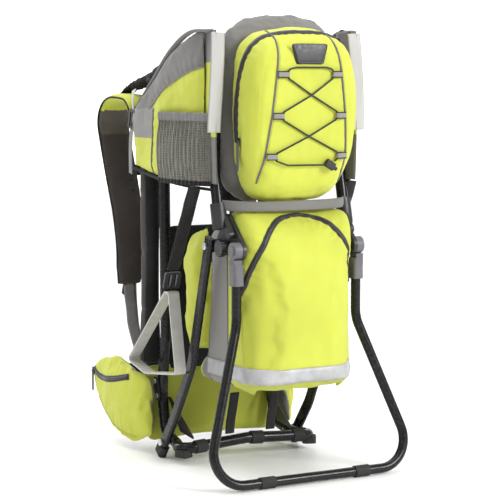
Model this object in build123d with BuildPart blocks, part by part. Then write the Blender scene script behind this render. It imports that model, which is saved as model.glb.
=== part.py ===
"""Child carrier backpack: tube frame, folding rear stand, cockpit, pockets and harness.

Origin on the floor under the middle of the carrier. +Z up, -Y towards the rear pockets,
+Y towards the wearer, X = 0 is the plane of symmetry. Millimetres.
"""

import os

from build123d import *

os.makedirs("parts", exist_ok=True)

# ---- driving dimensions -------------------------------------------------------------
GAP = 0.3  # clearance between neighbouring pieces

TUBE_D = 19.0  # main frame and head hoop
TUBE_WALL = 1.5
STAND_D = 16.0  # folding stand
STAND_WALL = 1.5
STRUT_WIDE = 22.0  # flat oval strut section
STRUT_THIN = 10.0

UPRIGHT_X = 108.0  # half spacing of the uprights
HOOP_X = 119.0  # half spacing of the head hoop
STRUT_X = 132.0  # half spacing of the struts at the floor
STRUT_TOP_X = 126.0
LEG_X = 113.0  # half spacing of the stand's legs at the hinge

HINGE_Y = -204.0  # stand hinge
HINGE_Z = 378.0
STRUT_PIVOT = (-133.0, 381.0)  # strut's upper bolt (Y, Z)
KNOB_SPOT = (-168.0, 380.0)  # hand knob on the hinge block (Y, Z)
FLOOR_BAR_Y = -262.0
GRIP_WALL = 1.6  # rubber sleeves on the floor bar

WEBBING = 25.0  # common webbing width
WEBBING_THICK = 1.8

BODY_X = 101.0  # half width of lower bag and seat bucket
PAD_REAR_Y = 91.0  # rear face of back and lumbar pads
PAD_FRONT_Y = 118.0
PANEL_TOP_Z = 603.0  # front corner of the side panels
SHOULDER_X = 118.0  # middle of each shoulder strap
SHOULDER_WIDE = 60.0
SHOULDER_THICK = 13.0
AIR_SHARE = 0.93  # size of the air space in a pocket, as a share of the pocket

SIDES = {"left": -1, "right": 1}


# ---- helpers ------------------------------------------------------------------------
def save(piece, name):
    """Label a finished piece and write its STEP file."""
    piece.part.label = name
    export_step(piece.part, f"parts/{name}.step")


def mirrored(piece):
    """The same piece on the other side of the plane of symmetry."""
    with BuildPart() as twin:
        mirror(piece.part, about=Plane.YZ)
    return twin


def pair(piece):
    """A left-hand piece and its mirror image in one node."""
    with BuildPart() as both:
        add(piece.part)
        mirror(about=Plane.YZ)
    return both


def hollowed(piece, share):
    """A closed bag around an air space of the same shape, that share of its size."""
    middle = piece.part.bounding_box().center()
    core = Pos(middle) * scale(Pos(-middle) * piece.part, by=share)
    with BuildPart() as bag:
        add(piece.part)
        add(core, mode=Mode.SUBTRACT)
    return bag


def both_ways(half_route):
    """A route from one side to the other, from its left half (middle point last)."""
    right_half = [(-x, y, z) for x, y, z in reversed(half_route) if x != 0]
    return half_route + right_half


def start_plane(line, x_dir=None):
    """Plane square to the start of a line."""
    return Plane(origin=line @ 0, x_dir=x_dir, z_dir=line % 0)


def tube(route, corner_radii, diameter, wall):
    """Hollow round tube along straight runs joined by tangent arcs."""
    with BuildPart() as bent:
        with BuildLine() as path:
            FilletPolyline(*route, radius=corner_radii)
        with BuildSketch(start_plane(path.line)):
            Circle(diameter / 2)
            Circle(diameter / 2 - wall, mode=Mode.SUBTRACT)
        sweep(path=path.line)
    return bent


def round_bar(route, corner_radii, diameter):
    """Solid round bar along straight runs joined by tangent arcs."""
    with BuildPart() as bar:
        with BuildLine() as path:
            FilletPolyline(*route, radius=corner_radii)
        with BuildSketch(start_plane(path.line)):
            Circle(diameter / 2)
        sweep(path=path.line)
    return bar


def band(plane, points, corner_radii, thick, width):
    """Flat strap: a profile of constant thickness, extruded evenly both ways."""
    with BuildPart() as strap:
        with BuildSketch(plane):
            with BuildLine():
                if corner_radii:
                    FilletPolyline(*points, radius=corner_radii)
                else:
                    Line(*points)
            trace(line_width=thick)
        extrude(amount=width / 2, both=True)
    return strap


def x_plane(x):
    """Plane at a given X whose sketch coordinates are (Y, Z)."""
    return Plane.YZ.offset(x)


def y_plane(y):
    """Plane at a given Y whose sketch coordinates are (X, Z), facing the rear."""
    return Plane.XZ.offset(-y)


def rounded_box(x_range, y_range, z_range, edge):
    """Cushion-like block with rounded upright edges and softened rims."""
    size = [high - low for low, high in (x_range, y_range, z_range)]
    centre = [(high + low) / 2 for low, high in (x_range, y_range, z_range)]
    with BuildPart() as block:
        with Locations(tuple(centre)):
            Box(*size)
        fillet(block.edges().filter_by(Axis.Z), edge)
        fillet(block.faces().sort_by(Axis.Z)[-1].edges(), edge / 2)
        fillet(block.faces().sort_by(Axis.Z)[0].edges(), edge / 2)
    return block


# ---- main frame: rails, uprights and base loop in one bent tube -----------------------
RAIL_Z = 590.0
BASE_BOLT_Y = 22.0
BASE_BOLT_Z = 28.0
BOLT_R = 2.5

frame_route = both_ways(
    [
        (-116, -127, RAIL_Z),
        (-121, -20, RAIL_Z),
        (-110, 62, RAIL_Z),
        (-UPRIGHT_X, 62, 200),
        (-UPRIGHT_X, 79, 112),
        (-110, 60, 36),
        (-114, 6, 25),
        (-139, -46, 27),
        (0, -35, 33),
    ]
)
frame_radii = [90, 42, 120, 110, 26, 40, 20, 60, 20, 40, 26, 110, 120, 42, 90]

with BuildPart() as main_frame:
    with BuildLine() as frame_line:
        FilletPolyline(*frame_route, radius=frame_radii)
    with BuildSketch(start_plane(frame_line.line)):
        Circle(TUBE_D / 2)
        Circle(TUBE_D / 2 - TUBE_WALL, mode=Mode.SUBTRACT)
    sweep(path=frame_line.line)
    with BuildSketch(x_plane(0)):
        with Locations((BASE_BOLT_Y, BASE_BOLT_Z)):
            Circle(BOLT_R + 0.1)
    extrude(amount=STRUT_X, both=True, mode=Mode.SUBTRACT)
save(main_frame, "main_frame")

# ---- head hoop over the child's head --------------------------------------------------
HOOP_END = (-HOOP_X, -158, 424)
HOOP_BEND = (-HOOP_X, -138, 512)
hoop_route = both_ways([HOOP_END, HOOP_BEND, (-103, -136, 690), (-56, -136, 745)])
hoop_radii = [120, 60, 60, 60, 60, 120]
save(tube(hoop_route, hoop_radii, TUBE_D, TUBE_WALL), "head_hoop")

# ---- cross bar between the uprights' tops ---------------------------------------------
BAR_Z = 560.0
BAR_D = 14.0
bar_reach = UPRIGHT_X - TUBE_D / 2 - GAP
with BuildPart() as yoke_bar:
    with BuildSketch(x_plane(-bar_reach)):
        with Locations((62, BAR_Z)):
            Circle(BAR_D / 2)
            Circle(BAR_D / 2 - TUBE_WALL, mode=Mode.SUBTRACT)
    extrude(amount=2 * bar_reach)
save(yoke_bar, "yoke_bar")

# ---- flat oval struts with rubber caps on the floor -----------------------------------
STRUT_FOOT = (-STRUT_X, 33, 11)
CAP_WALL = 2.6
CAP_TALL = 22.0
strut_route = [
    (-STRUT_TOP_X, STRUT_PIVOT[0] - 4, STRUT_PIVOT[1] + 14),
    (-128, -76, 176),
    (-STRUT_X, -22, 82),
    STRUT_FOOT,
]
with BuildPart() as strut_left:
    with BuildLine() as strut_line:
        FilletPolyline(*strut_route, radius=[150, 150])
    with BuildSketch(start_plane(strut_line.line, x_dir=(1, 0, 0))):
        SlotOverall(STRUT_WIDE, STRUT_THIN, rotation=90)
    sweep(path=strut_line.line)
    with BuildSketch(x_plane(-STRUT_X - STRUT_THIN)):
        with Locations(STRUT_PIVOT, (BASE_BOLT_Y, BASE_BOLT_Z)):
            Circle(BOLT_R + 0.1)
    extrude(amount=2 * STRUT_THIN + 6, mode=Mode.SUBTRACT)
save(pair(strut_left), "struts")

foot_axis = Plane(origin=STRUT_FOOT, x_dir=(1, 0, 0), z_dir=(0, -55, 71))
with BuildPart() as strut_caps:
    with BuildSketch(foot_axis.offset(-5)):
        SlotOverall(STRUT_WIDE + 2 * CAP_WALL, STRUT_THIN + 2 * CAP_WALL, rotation=90)
    extrude(amount=CAP_TALL)
    with BuildSketch(foot_axis):
        SlotOverall(STRUT_WIDE + 0.2, STRUT_THIN + 0.2, rotation=90)
    extrude(amount=CAP_TALL, mode=Mode.SUBTRACT)
    with BuildSketch(x_plane(-STRUT_X)):
        with Locations((BASE_BOLT_Y, BASE_BOLT_Z)):
            Circle(9)
    extrude(amount=20, both=True, mode=Mode.SUBTRACT)
    split(bisect_by=Plane.XY, keep=Keep.TOP)
    mirror(about=Plane.YZ)

# ---- folding stand ---------------------------------------------------------------------
LEG_TOP_Z = 352.0
floor_bar_z = STAND_D / 2 + GRIP_WALL
stand_route = [
    (-LEG_X, HINGE_Y, LEG_TOP_Z),
    (-LEG_X, HINGE_Y, 257),
    (-199, FLOOR_BAR_Y, floor_bar_z),
    (199, FLOOR_BAR_Y, floor_bar_z),
    (LEG_X, HINGE_Y, 257),
    (LEG_X, HINGE_Y, LEG_TOP_Z),
]
save(tube(stand_route, [70, 50, 50, 70], STAND_D, STAND_WALL), "stand_tube")

GRIP_X = 89.0
GRIP_LONG = 27.0
with BuildPart() as stand_feet:
    for side in SIDES.values():
        with BuildSketch(x_plane(side * GRIP_X)):
            with Locations((FLOOR_BAR_Y, floor_bar_z)):
                Circle(STAND_D / 2 + GRIP_WALL)
                Circle(STAND_D / 2 + 0.05, mode=Mode.SUBTRACT)
        extrude(amount=GRIP_LONG / 2, both=True)
save(stand_feet, "stand_feet")

# ---- stand sockets: moulded knuckles that carry the legs -------------------------------
KNUCKLE_IN = 108.0
KNUCKLE_OUT = 121.0
KNUCKLE_R = 14.0
PIN_R = 4.0
PIN_CLEARANCE = 0.05
SOCKET_BOTTOM = 322.0
SOCKET_TOP = 357.0
BUTTON_R = 8.0
RECESS_DEEP = 6.0
with BuildPart() as socket_left:
    with BuildSketch(Plane.XY.offset(SOCKET_BOTTOM)):
        with Locations((-LEG_X, HINGE_Y)):
            RectangleRounded(18.8, 22, 5)
    extrude(amount=SOCKET_TOP - SOCKET_BOTTOM)
    with BuildSketch(x_plane(-KNUCKLE_OUT)):
        with Locations((HINGE_Y, HINGE_Z)):
            Circle(KNUCKLE_R)
        with Locations((HINGE_Y, SOCKET_TOP - 3)):
            Rectangle(20, 20)
    extrude(amount=KNUCKLE_OUT - KNUCKLE_IN)
    with BuildSketch(Plane.XY.offset(SOCKET_BOTTOM)):
        with Locations((-LEG_X, HINGE_Y)):
            Circle(STAND_D / 2 + 0.05)
    extrude(amount=LEG_TOP_Z - SOCKET_BOTTOM, mode=Mode.SUBTRACT)
    with BuildSketch(x_plane(-KNUCKLE_OUT - 1)):
        with Locations((HINGE_Y, HINGE_Z)):
            Circle(PIN_R + PIN_CLEARANCE)
    extrude(amount=20, mode=Mode.SUBTRACT)
    with BuildSketch(x_plane(-KNUCKLE_OUT)):
        with Locations((HINGE_Y, HINGE_Z)):
            Circle(BUTTON_R + 0.1)
    extrude(amount=RECESS_DEEP, mode=Mode.SUBTRACT)
save(pair(socket_left), "stand_sockets")

# ---- hinge blocks: clamp on the hoop's end, plate beside the knuckle, lug for the strut --
PLATE_IN = 101.6
PLATE_OUT = KNUCKLE_IN - GAP
ARM_OUT = 118.0
LUG_OUT = 120.5
clamp_plane = Plane(origin=HOOP_END, z_dir=(0, 20, 88))
with BuildPart() as hinge_block_left:
    with BuildSketch(x_plane(-PLATE_OUT)):
        with BuildLine():
            CenterArc((HINGE_Y, HINGE_Z), 15, 0, 360)
            CenterArc((-162, 424), 11, 0, 360)
            CenterArc(KNOB_SPOT, 13, 0, 360)
            CenterArc(STRUT_PIVOT, 11, 0, 360)
        make_hull()
        with Locations((-178, 352)):
            Circle(21, mode=Mode.SUBTRACT)
    extrude(amount=PLATE_OUT - PLATE_IN)
    with BuildSketch(x_plane(-ARM_OUT)):
        with BuildLine():
            CenterArc((-184, 403), 7, 0, 360)
            CenterArc((-160, 424), 10, 0, 360)
        make_hull()
        with Locations(KNOB_SPOT):
            Circle(12)
    extrude(amount=ARM_OUT - PLATE_IN)
    with BuildSketch(x_plane(-LUG_OUT)):
        with Locations(STRUT_PIVOT):
            Circle(11)
    extrude(amount=LUG_OUT - PLATE_IN)
    with BuildSketch(clamp_plane.offset(-14)):
        Circle(13)
    extrude(amount=42)
    with BuildSketch(clamp_plane):
        Circle(TUBE_D / 2 + 0.1)
    extrude(amount=60, mode=Mode.SUBTRACT)
    with BuildSketch(x_plane(-LUG_OUT - 20)):
        with Locations((HINGE_Y, HINGE_Z)):
            Circle(PIN_R)
        with Locations(STRUT_PIVOT, KNOB_SPOT):
            Circle(BOLT_R + 0.1)
    extrude(amount=60, mode=Mode.SUBTRACT)
save(pair(hinge_block_left), "hinge_blocks")

pin_end = KNUCKLE_OUT - RECESS_DEEP - 0.3
with BuildPart() as hinge_pins:
    with BuildSketch(x_plane(-pin_end)):
        with Locations((HINGE_Y, HINGE_Z)):
            Circle(PIN_R)
    extrude(amount=pin_end - PLATE_IN)
    mirror(about=Plane.YZ)
save(hinge_pins, "hinge_pins")

# Lock buttons sit in the knuckles' recesses and press inwards.
BUTTON_TRAVEL = 3.0
button_back = pin_end + BUTTON_TRAVEL + 0.4
BUTTON_LONG = 5.0
with BuildPart() as lock_button_left:
    with BuildSketch(x_plane(-button_back - BUTTON_LONG)):
        with Locations((HINGE_Y, HINGE_Z)):
            Circle(BUTTON_R)
    extrude(amount=BUTTON_LONG)
    fillet(lock_button_left.faces().sort_by(Axis.X)[0].edges(), 1.2)
save(lock_button_left, "lock_button_left")
save(mirrored(lock_button_left), "lock_button_right")

# Ribbed hand knobs clamp the hinge blocks.
KNOB_R = 14.0
KNOB_RIBS = 14
knob_back = ARM_OUT + GAP
with BuildPart() as hand_knobs:
    with BuildSketch(x_plane(-knob_back)):
        with Locations(KNOB_SPOT):
            Circle(KNOB_R - 1.2)
            with PolarLocations(KNOB_R - 2.0, KNOB_RIBS):
                Circle(2.0)
    extrude(amount=-9)
    with BuildSketch(x_plane(-knob_back)):
        with Locations(KNOB_SPOT):
            Circle(BOLT_R)
    extrude(amount=knob_back - PLATE_IN)
    mirror(about=Plane.YZ)
save(hand_knobs, "hand_knobs")

# ---- base hardware ----------------------------------------------------------------------
with BuildPart() as strut_bolts:
    for spot, face_x, shank_end in (
        ((BASE_BOLT_Y, BASE_BOLT_Z), STRUT_X + STRUT_THIN / 2, 104),
        (STRUT_PIVOT, STRUT_TOP_X + STRUT_THIN / 2 + 0.5, 106),
    ):
        with BuildSketch(x_plane(-face_x - 0.2)):
            with Locations(spot):
                Circle(6.5)
        extrude(amount=-4.5)
        with BuildSketch(x_plane(-face_x - 0.2)):
            with Locations(spot):
                Circle(BOLT_R)
        extrude(amount=face_x - shank_end)
    outer_faces = strut_bolts.faces().filter_by(lambda face: face.normal_at().X < -0.9)
    fillet(outer_faces.sort_by(SortBy.AREA)[-2:].edges(), 1.5)
    mirror(about=Plane.YZ)
save(strut_bolts, "strut_bolts")

SLEEVE_WALL = 2.0
with BuildPart() as crossbar_sleeves:
    corner, middle = Vector(*frame_route[7]), Vector(*frame_route[8])
    for low_x, high_x in ((6, 28), (86, 106), (-106, -86)):
        side = 1 if low_x > 0 else -1
        outwards = Vector(-side * corner.X, corner.Y, corner.Z) - middle
        low = middle + outwards * (low_x / outwards.X)
        high = middle + outwards * (high_x / outwards.X)
        along = high - low
        with BuildSketch(Plane(origin=low, z_dir=along)):
            Circle(TUBE_D / 2 + SLEEVE_WALL)
            Circle(TUBE_D / 2 + 0.1, mode=Mode.SUBTRACT)
        extrude(amount=along.length)
save(crossbar_sleeves, "crossbar_sleeves")

corner_bar = round_bar(frame_route[5:9], frame_radii[5:7], TUBE_D + 0.2)
with BuildPart() as base_feet:
    with BuildSketch(Plane.XY.offset(12)):
        with Locations((-124, -36)):
            RectangleRounded(24, 26, 7, rotation=25)
    extrude(amount=13)
    add(corner_bar.part, mode=Mode.SUBTRACT)
    mirror(about=Plane.YZ)
    add(strut_caps.part)
save(base_feet, "base_feet")

BRACKET_X = UPRIGHT_X + TUBE_D / 2 + 1.0
RIVET_SPOTS = [(72, 100), (80, 124)]
with BuildPart() as belt_brackets:
    with BuildSketch(x_plane(-BRACKET_X)):
        with BuildLine():
            for spot in RIVET_SPOTS:
                CenterArc(spot, 8.5, 0, 360)
        make_hull()
    extrude(amount=-2)
    mirror(about=Plane.YZ)
save(belt_brackets, "belt_brackets")

with BuildPart() as bracket_rivets:
    with BuildSketch(x_plane(-BRACKET_X - 2.1)):
        with Locations(*RIVET_SPOTS):
            Circle(4.5)
    extrude(amount=-2.5)
    fillet(bracket_rivets.faces().filter_by(Axis.X).sort_by(Axis.X)[:2].edges(), 1.2)
    mirror(about=Plane.YZ)
save(bracket_rivets, "bracket_rivets")

# Webbing ties from the bag's underside to the base bar, with their studs.
TIE_X = 40.0
with BuildPart() as bag_ties:
    for side in SIDES.values():
        with BuildSketch(x_plane(side * TIE_X)):
            with BuildLine():
                Line((-62, 114), (-43, 43))
            trace(line_width=WEBBING_THICK)
        extrude(amount=9, both=True)
save(bag_ties, "bag_ties")

with BuildPart() as corner_gussets:
    with BuildSketch(x_plane(-98)):
        with BuildLine():
            Polyline((66, 96), (76, 96), (28, 42), (-20, 37), (-20, 41), close=True)
        make_face()
    extrude(amount=1.6)
    mirror(about=Plane.YZ)
save(corner_gussets, "corner_gussets")

# ---- hood: padded head panel around the hoop --------------------------------------------
HOOD_REAR_Y = -160.0
HOOD_FRONT_Y = -113.0
hood_outline = [
    (-60, 447),
    (-98, 462),
    (-119, 500),
    (-124, 550),
    (-118, 660),
    (-108, 706),
    (-80, 745),
    (-42, 762),
]
hoop_channel = round_bar(hoop_route, hoop_radii, TUBE_D + 0.4)
rail_channel = round_bar(frame_route[:3], frame_radii[:1], TUBE_D + 0.4)
with BuildPart() as hood:
    with BuildSketch(y_plane(HOOD_REAR_Y)):
        with BuildLine():
            Polyline(*hood_outline, *[(-x, z) for x, z in reversed(hood_outline)], close=True)
        make_face()
    extrude(amount=-(HOOD_FRONT_Y - HOOD_REAR_Y))
    fillet(hood.edges().filter_by(Axis.Y), 9)
    add(hoop_channel.part, mode=Mode.SUBTRACT)
    add(rail_channel.part, mode=Mode.SUBTRACT)
    mirror(rail_channel.part, about=Plane.YZ, mode=Mode.SUBTRACT)
save(hood, "hood")

# ---- upper pocket ------------------------------------------------------------------------
upper_outline = [(-62, 451), (-94, 474), (-105, 540), (-105, 650), (-95, 706), (-66, 733)]
upper_profile = [
    (HOOD_REAR_Y - GAP, 448),
    (-192, 449),
    (-215, 476),
    (-233, 529),
    (-242, 594),
    (-244, 670),
    (-234, 722),
    (HOOD_REAR_Y - GAP, 736),
]
with BuildPart() as upper_pocket:
    with BuildSketch(y_plane(HOOD_REAR_Y)):
        with BuildLine():
            Polyline(*upper_outline, *[(-x, z) for x, z in reversed(upper_outline)], close=True)
        make_face()
    extrude(amount=100)
    fillet(upper_pocket.edges().filter_by(Axis.Y), 16)
    with BuildSketch(x_plane(0)):
        with BuildLine():
            Polyline(*upper_profile, close=True)
        make_face()
    extrude(amount=BODY_X + 20, both=True, mode=Mode.INTERSECT)
save(hollowed(upper_pocket, AIR_SHARE), "upper_pocket")

# ---- lower bag -----------------------------------------------------------------------------
BAG_FRONT_Y = -76.0
BAG_BASE_Y = -14.0
lower_profile = [
    (BAG_BASE_Y, 126),
    (-70, 118),
    (-196, 122),
    (-234, 150),
    (-243, 250),
    (-236, 380),
    (-205, 434),
    (-182, 441),
    (-150, 441),
    (BAG_FRONT_Y, 400),
    (BAG_FRONT_Y, 262),
    (-66, 196),
    (BAG_BASE_Y, 150),
]
with BuildPart() as lower_bag:
    with BuildSketch(x_plane(-BODY_X)):
        with BuildLine():
            Polyline(*lower_profile, close=True)
        make_face()
    extrude(amount=2 * BODY_X)
    fillet(lower_bag.edges().filter_by(Axis.X).group_by(Axis.Y)[0], 30)
    with BuildSketch(Plane.XY.offset(100)):
        with Locations((0, (BAG_BASE_Y - 243) / 2)):
            RectangleRounded(2 * BODY_X, 243 + BAG_BASE_Y, 48)
    extrude(amount=360, mode=Mode.INTERSECT)
save(hollowed(lower_bag, AIR_SHARE), "lower_bag")

# ---- seat bucket, seat and inner back ------------------------------------------------------
BUCKET_REAR_Y = BAG_FRONT_Y + 1
BUCKET_FRONT_Y = 18.0
bucket_profile = [
    (BUCKET_REAR_Y, 266),
    (-56, 206),
    (-8, 187),
    (BUCKET_FRONT_Y, 240),
    (BUCKET_FRONT_Y, 352),
    (-10, 392),
    (BUCKET_REAR_Y, 422),
]
with BuildPart() as seat_bucket:
    with BuildSketch(x_plane(-BODY_X)):
        with BuildLine():
            Polyline(*bucket_profile, close=True)
        make_face()
    extrude(amount=2 * BODY_X)
    fillet(seat_bucket.edges().filter_by(Axis.X), 10)
    with BuildSketch(Plane.XY.offset(330)):
        with Locations((0, (BUCKET_REAR_Y + BUCKET_FRONT_Y) / 2)):
            RectangleRounded(2 * BODY_X - 16, BUCKET_FRONT_Y - BUCKET_REAR_Y - 14, 12)
    extrude(amount=120, mode=Mode.SUBTRACT)
save(seat_bucket, "seat_bucket")

save(rounded_box((-90, 90), (-66, 9), (331, 350), 8), "seat_pad")
save(rounded_box((-94, 94), (HOOD_FRONT_Y + GAP, -99), (446, 700), 6), "inner_back")
save(rounded_box((-96, 96), (73, 86), (140, 400), 5), "back_board")

# ---- harness ---------------------------------------------------------------------------------
HARNESS_Y = -95.0
with BuildPart() as harness_straps:
    with BuildSketch(y_plane(HARNESS_Y)):
        for side in SIDES.values():
            with BuildLine():
                Polyline((side * 52, 690), (side * 12, 512))
            trace(line_width=WEBBING)
        with BuildLine():
            Polyline((0, 448), (0, 470))
        trace(line_width=WEBBING)
    extrude(amount=-WEBBING_THICK)
save(harness_straps, "harness_straps")

pad_points = [(-92, 650), (-70, 690), (0, 697), (44, 672)]
save(pair(band(x_plane(-80), pad_points, [24, 60], 12, 40)), "harness_pads")


def buckle_body(base, wide, long, thick):
    """Female half: a pouch open at its front end (local x = 0)."""
    with BuildPart() as female:
        with BuildSketch(base):
            with Locations((-long / 2, 0)):
                RectangleRounded(long, wide, 3)
        extrude(amount=thick)
        with BuildSketch(base.offset(2)):
            with Locations((-long / 2 + 3, 0)):
                Rectangle(long - 2, wide - 6)
        extrude(amount=thick - 4, mode=Mode.SUBTRACT)
    return female


def buckle_tongue(base, wide, long, thick):
    """Male half: a plate with two prongs and a guide that enter the pouch."""
    prong = (wide - 6) / 5
    with BuildPart() as male:
        with BuildSketch(base):
            with Locations((GAP + long / 2, 0)):
                RectangleRounded(long, wide, 3)
        extrude(amount=thick)
        with BuildSketch(base.offset(2.4)):
            with Locations((-long * 0.3, 0)):
                for row in (-1, 0, 1):
                    with Locations((0, row * 1.85 * prong)):
                        Rectangle(long * 0.6 + 2 * GAP + 2, prong)
        extrude(amount=thick - 4.8)
    return male


harness_base = Plane(origin=(0, HARNESS_Y + 2.4, 492), x_dir=(0, 0, 1), z_dir=(0, 1, 0))
save(buckle_body(harness_base, 34, 20, 9), "harness_buckle_body")
save(buckle_tongue(harness_base, 34, 18, 9), "harness_buckle_tongue")

# ---- cockpit sides: curved padded panels with grey wings and mesh pockets ---------------------
PANEL_THICK = 11.0
panel_plan = [(-127.5, -158), (-149, -40), (-150, 100)]
mesh_plan = [(-127.5, -156), (-149, -60), (-150.6, -4)]
panel_outline = [
    (-158, 474),
    (-8, 484),
    (100, 499),
    (100, 598),
    (66, 624),
    (-40, 704),
    (-120, 738),
    (-158, 738),
]


def curved_slab(outer, inner, low_z, high_z):
    """Upright slab between two plan arcs, each given by its rear, middle and front point."""
    with BuildPart() as slab:
        with BuildSketch(Plane.XY.offset(low_z)):
            with BuildLine():
                ThreePointArc(*outer)
                Line(outer[2], inner[2])
                ThreePointArc(inner[2], inner[1], inner[0])
                Line(inner[0], outer[0])
            make_face()
        extrude(amount=high_z - low_z)
    return slab


def shifted(plan, distance):
    """A plan arc moved along X."""
    return [(x + distance, y) for x, y in plan]


panel_slab = curved_slab(panel_plan, shifted(panel_plan, PANEL_THICK), 470, 760)
with BuildPart() as side_panel_left:
    add(panel_slab.part)
    with BuildSketch(x_plane(-170)):
        with BuildLine():
            Polyline(*panel_outline, close=True)
        make_face()
    extrude(amount=80, mode=Mode.INTERSECT)
    split(bisect_by=Plane.YZ.offset(-HOOP_X - 11), keep=Keep.BOTTOM)
save(pair(side_panel_left), "side_panels")

POCKET_DEEP = 12.0
MESH_WALL = 1.5
POUCH_LOW_Z = 483.0
pouch_outside = curved_slab(
    shifted(mesh_plan, -POCKET_DEEP), shifted(mesh_plan, -GAP - 1.2), POUCH_LOW_Z, 596
)
pouch_inside = curved_slab(
    [(-137.5, -150), (-158.8, -60), (-160.8, -8)],
    [(-132.5, -150), (-152.2, -60), (-154.4, -8)],
    POUCH_LOW_Z + MESH_WALL,
    620,
)
with BuildPart() as mesh_pocket_left:
    add(pouch_outside.part)
    add(pouch_inside.part, mode=Mode.SUBTRACT)
save(pair(mesh_pocket_left), "mesh_pockets")

canopy_route = [(-169, 726), (-171, 567)]
canopy_band = band(x_plane(-133), canopy_route, [], WEBBING_THICK, WEBBING)
save(pair(canopy_band), "canopy_bands")

save(rounded_box((-118, 118), (52, 117), (603, 645), 14), "front_pad")

# Padded load lifters run from the cockpit's front corners to the shoulder straps.
lifter_route = [(60, 662), (112, 650), (186, 634)]
save(pair(band(x_plane(-112), lifter_route, [80], 9, 34)), "load_lifters")

# ---- wearer's side: back pads, lumbar pad, shoulder straps -------------------------------------
with BuildPart() as back_pad_left:
    with BuildSketch(Plane.XY.offset(153)):
        with Locations((-117.5, (PAD_REAR_Y + PAD_FRONT_Y) / 2)):
            RectangleRounded(37, PAD_FRONT_Y - PAD_REAR_Y, 9)
    extrude(amount=447)
save(pair(back_pad_left), "back_pads")

save(rounded_box((-129, 129), (PAD_REAR_Y, 121), (12, 150), 9), "lumbar_pad")

shoulder_route = [
    (PAD_FRONT_Y + 7, 583),
    (138, 618),
    (212, 618),
    (263, 580),
    (196, 420),
    (182, 350),
    (190, 290),
]
shoulder_radii = [26, 50, 38, 120, 90]
STRAP_END_Y = 190
STRAP_END_Z = 290
shoulder_strap = band(
    x_plane(-SHOULDER_X), shoulder_route, shoulder_radii, SHOULDER_THICK, SHOULDER_WIDE
)
save(pair(shoulder_strap), "shoulder_straps")

with BuildPart() as ladder_locks:
    with BuildSketch(Plane(origin=(-SHOULDER_X, STRAP_END_Y + 2, 281), z_dir=(0, 0.93, 0.35))):
        RectangleRounded(34, 22, 3)
        with GridLocations(0, 7.6, 1, 2):
            Rectangle(26, 4, mode=Mode.SUBTRACT)
    extrude(amount=2, both=True)
    split(bisect_by=Plane.XY.offset(288), keep=Keep.BOTTOM)
    mirror(about=Plane.YZ)
save(ladder_locks, "ladder_locks")

lower_web_route = [(190, 268), (172, 216), (128, 154)]
lower_web = band(x_plane(-SHOULDER_X), lower_web_route, [120], WEBBING_THICK, 24)
save(pair(lower_web), "lower_webbing")

# Chest strap on the outer faces of the shoulder straps.
CHEST_Y = 246.0
CHEST_Z = 486.0
with BuildPart() as chest_webbing:
    with BuildSketch(y_plane(CHEST_Y)):
        for side in SIDES.values():
            with Locations((side * 64, CHEST_Z)):
                Rectangle(92, 20)
    extrude(amount=-1.6)
save(chest_webbing, "chest_webbing")

chest_base = Plane(origin=(0, CHEST_Y + 2, CHEST_Z), x_dir=(1, 0, 0), z_dir=(0, 1, 0))
save(buckle_body(chest_base, 28, 26, 9), "chest_buckle_body")
save(buckle_tongue(chest_base, 28, 24, 9), "chest_buckle_tongue")

# ---- hip belt: wings that wrap forward, webbing and buckle ---------------------------------------
belt_outline = [
    (48, 30),
    (100, 12),
    (178, 26),
    (242, 84),
    (262, 128),
    (222, 150),
    (170, 163),
    (108, 150),
    (60, 138),
]
with BuildPart() as hip_wing_left:
    with BuildSketch(Plane.XY):
        with BuildLine():
            ThreePointArc((-143, 48), (-163, 150), (-160, 262))
            Line((-160, 262), (-140, 262))
            ThreePointArc((-140, 262), (-138, 150), (-130.5, 48))
            Line((-130.5, 48), (-143, 48))
        make_face()
    extrude(amount=180)
    with BuildSketch(x_plane(-170)):
        with BuildLine():
            Polyline(*belt_outline, close=True)
        make_face()
    extrude(amount=60, mode=Mode.INTERSECT)
save(pair(hip_wing_left), "hip_wings")

WAIST_Y = 250.0
WAIST_Z = 112.0
with BuildPart() as waist_webbing:
    with BuildSketch(y_plane(WAIST_Y)):
        for side in SIDES.values():
            with Locations((side * 78.5, WAIST_Z)):
                Rectangle(119, 36)
    extrude(amount=-1.8)
save(waist_webbing, "waist_webbing")

waist_base = Plane(origin=(0, WAIST_Y + 2.2, WAIST_Z), x_dir=(1, 0, 0), z_dir=(0, 1, 0))
save(buckle_body(waist_base, 48, 34, 13), "waist_buckle_body")
save(buckle_tongue(waist_base, 48, 30, 13), "waist_buckle_tongue")

# ---- stirrups ------------------------------------------------------------------------------------
STIRRUP_X = 149.5
loop_corners = [(-52, 298), (-36, 298), (113, 161), (42, 146), (-78, 162)]
with BuildPart() as stirrup_left:
    with BuildSketch(x_plane(-STIRRUP_X)):
        with BuildLine():
            FilletPolyline(*loop_corners, radius=[5, 5, 7, 30, 8], close=True)
        make_face()
        offset(amount=-3, mode=Mode.SUBTRACT)
    extrude(amount=10, both=True)
save(pair(stirrup_left), "stirrup_loops")

hanger_route = [(-130, 478), (-76, 378), (-50, 336)]
save(pair(band(x_plane(-STIRRUP_X), hanger_route, [200], 5, 22)), "stirrup_hangers")

with BuildPart() as stirrup_slides:
    with BuildSketch(Plane(origin=(-STIRRUP_X, -46, 317), z_dir=(0, -0.93, -0.35))):
        RectangleRounded(30, 30, 4)
        with GridLocations(0, 11, 1, 2):
            Rectangle(23, 5, mode=Mode.SUBTRACT)
    extrude(amount=2.5, both=True)
    mirror(about=Plane.YZ)
save(stirrup_slides, "stirrup_slides")

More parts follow.
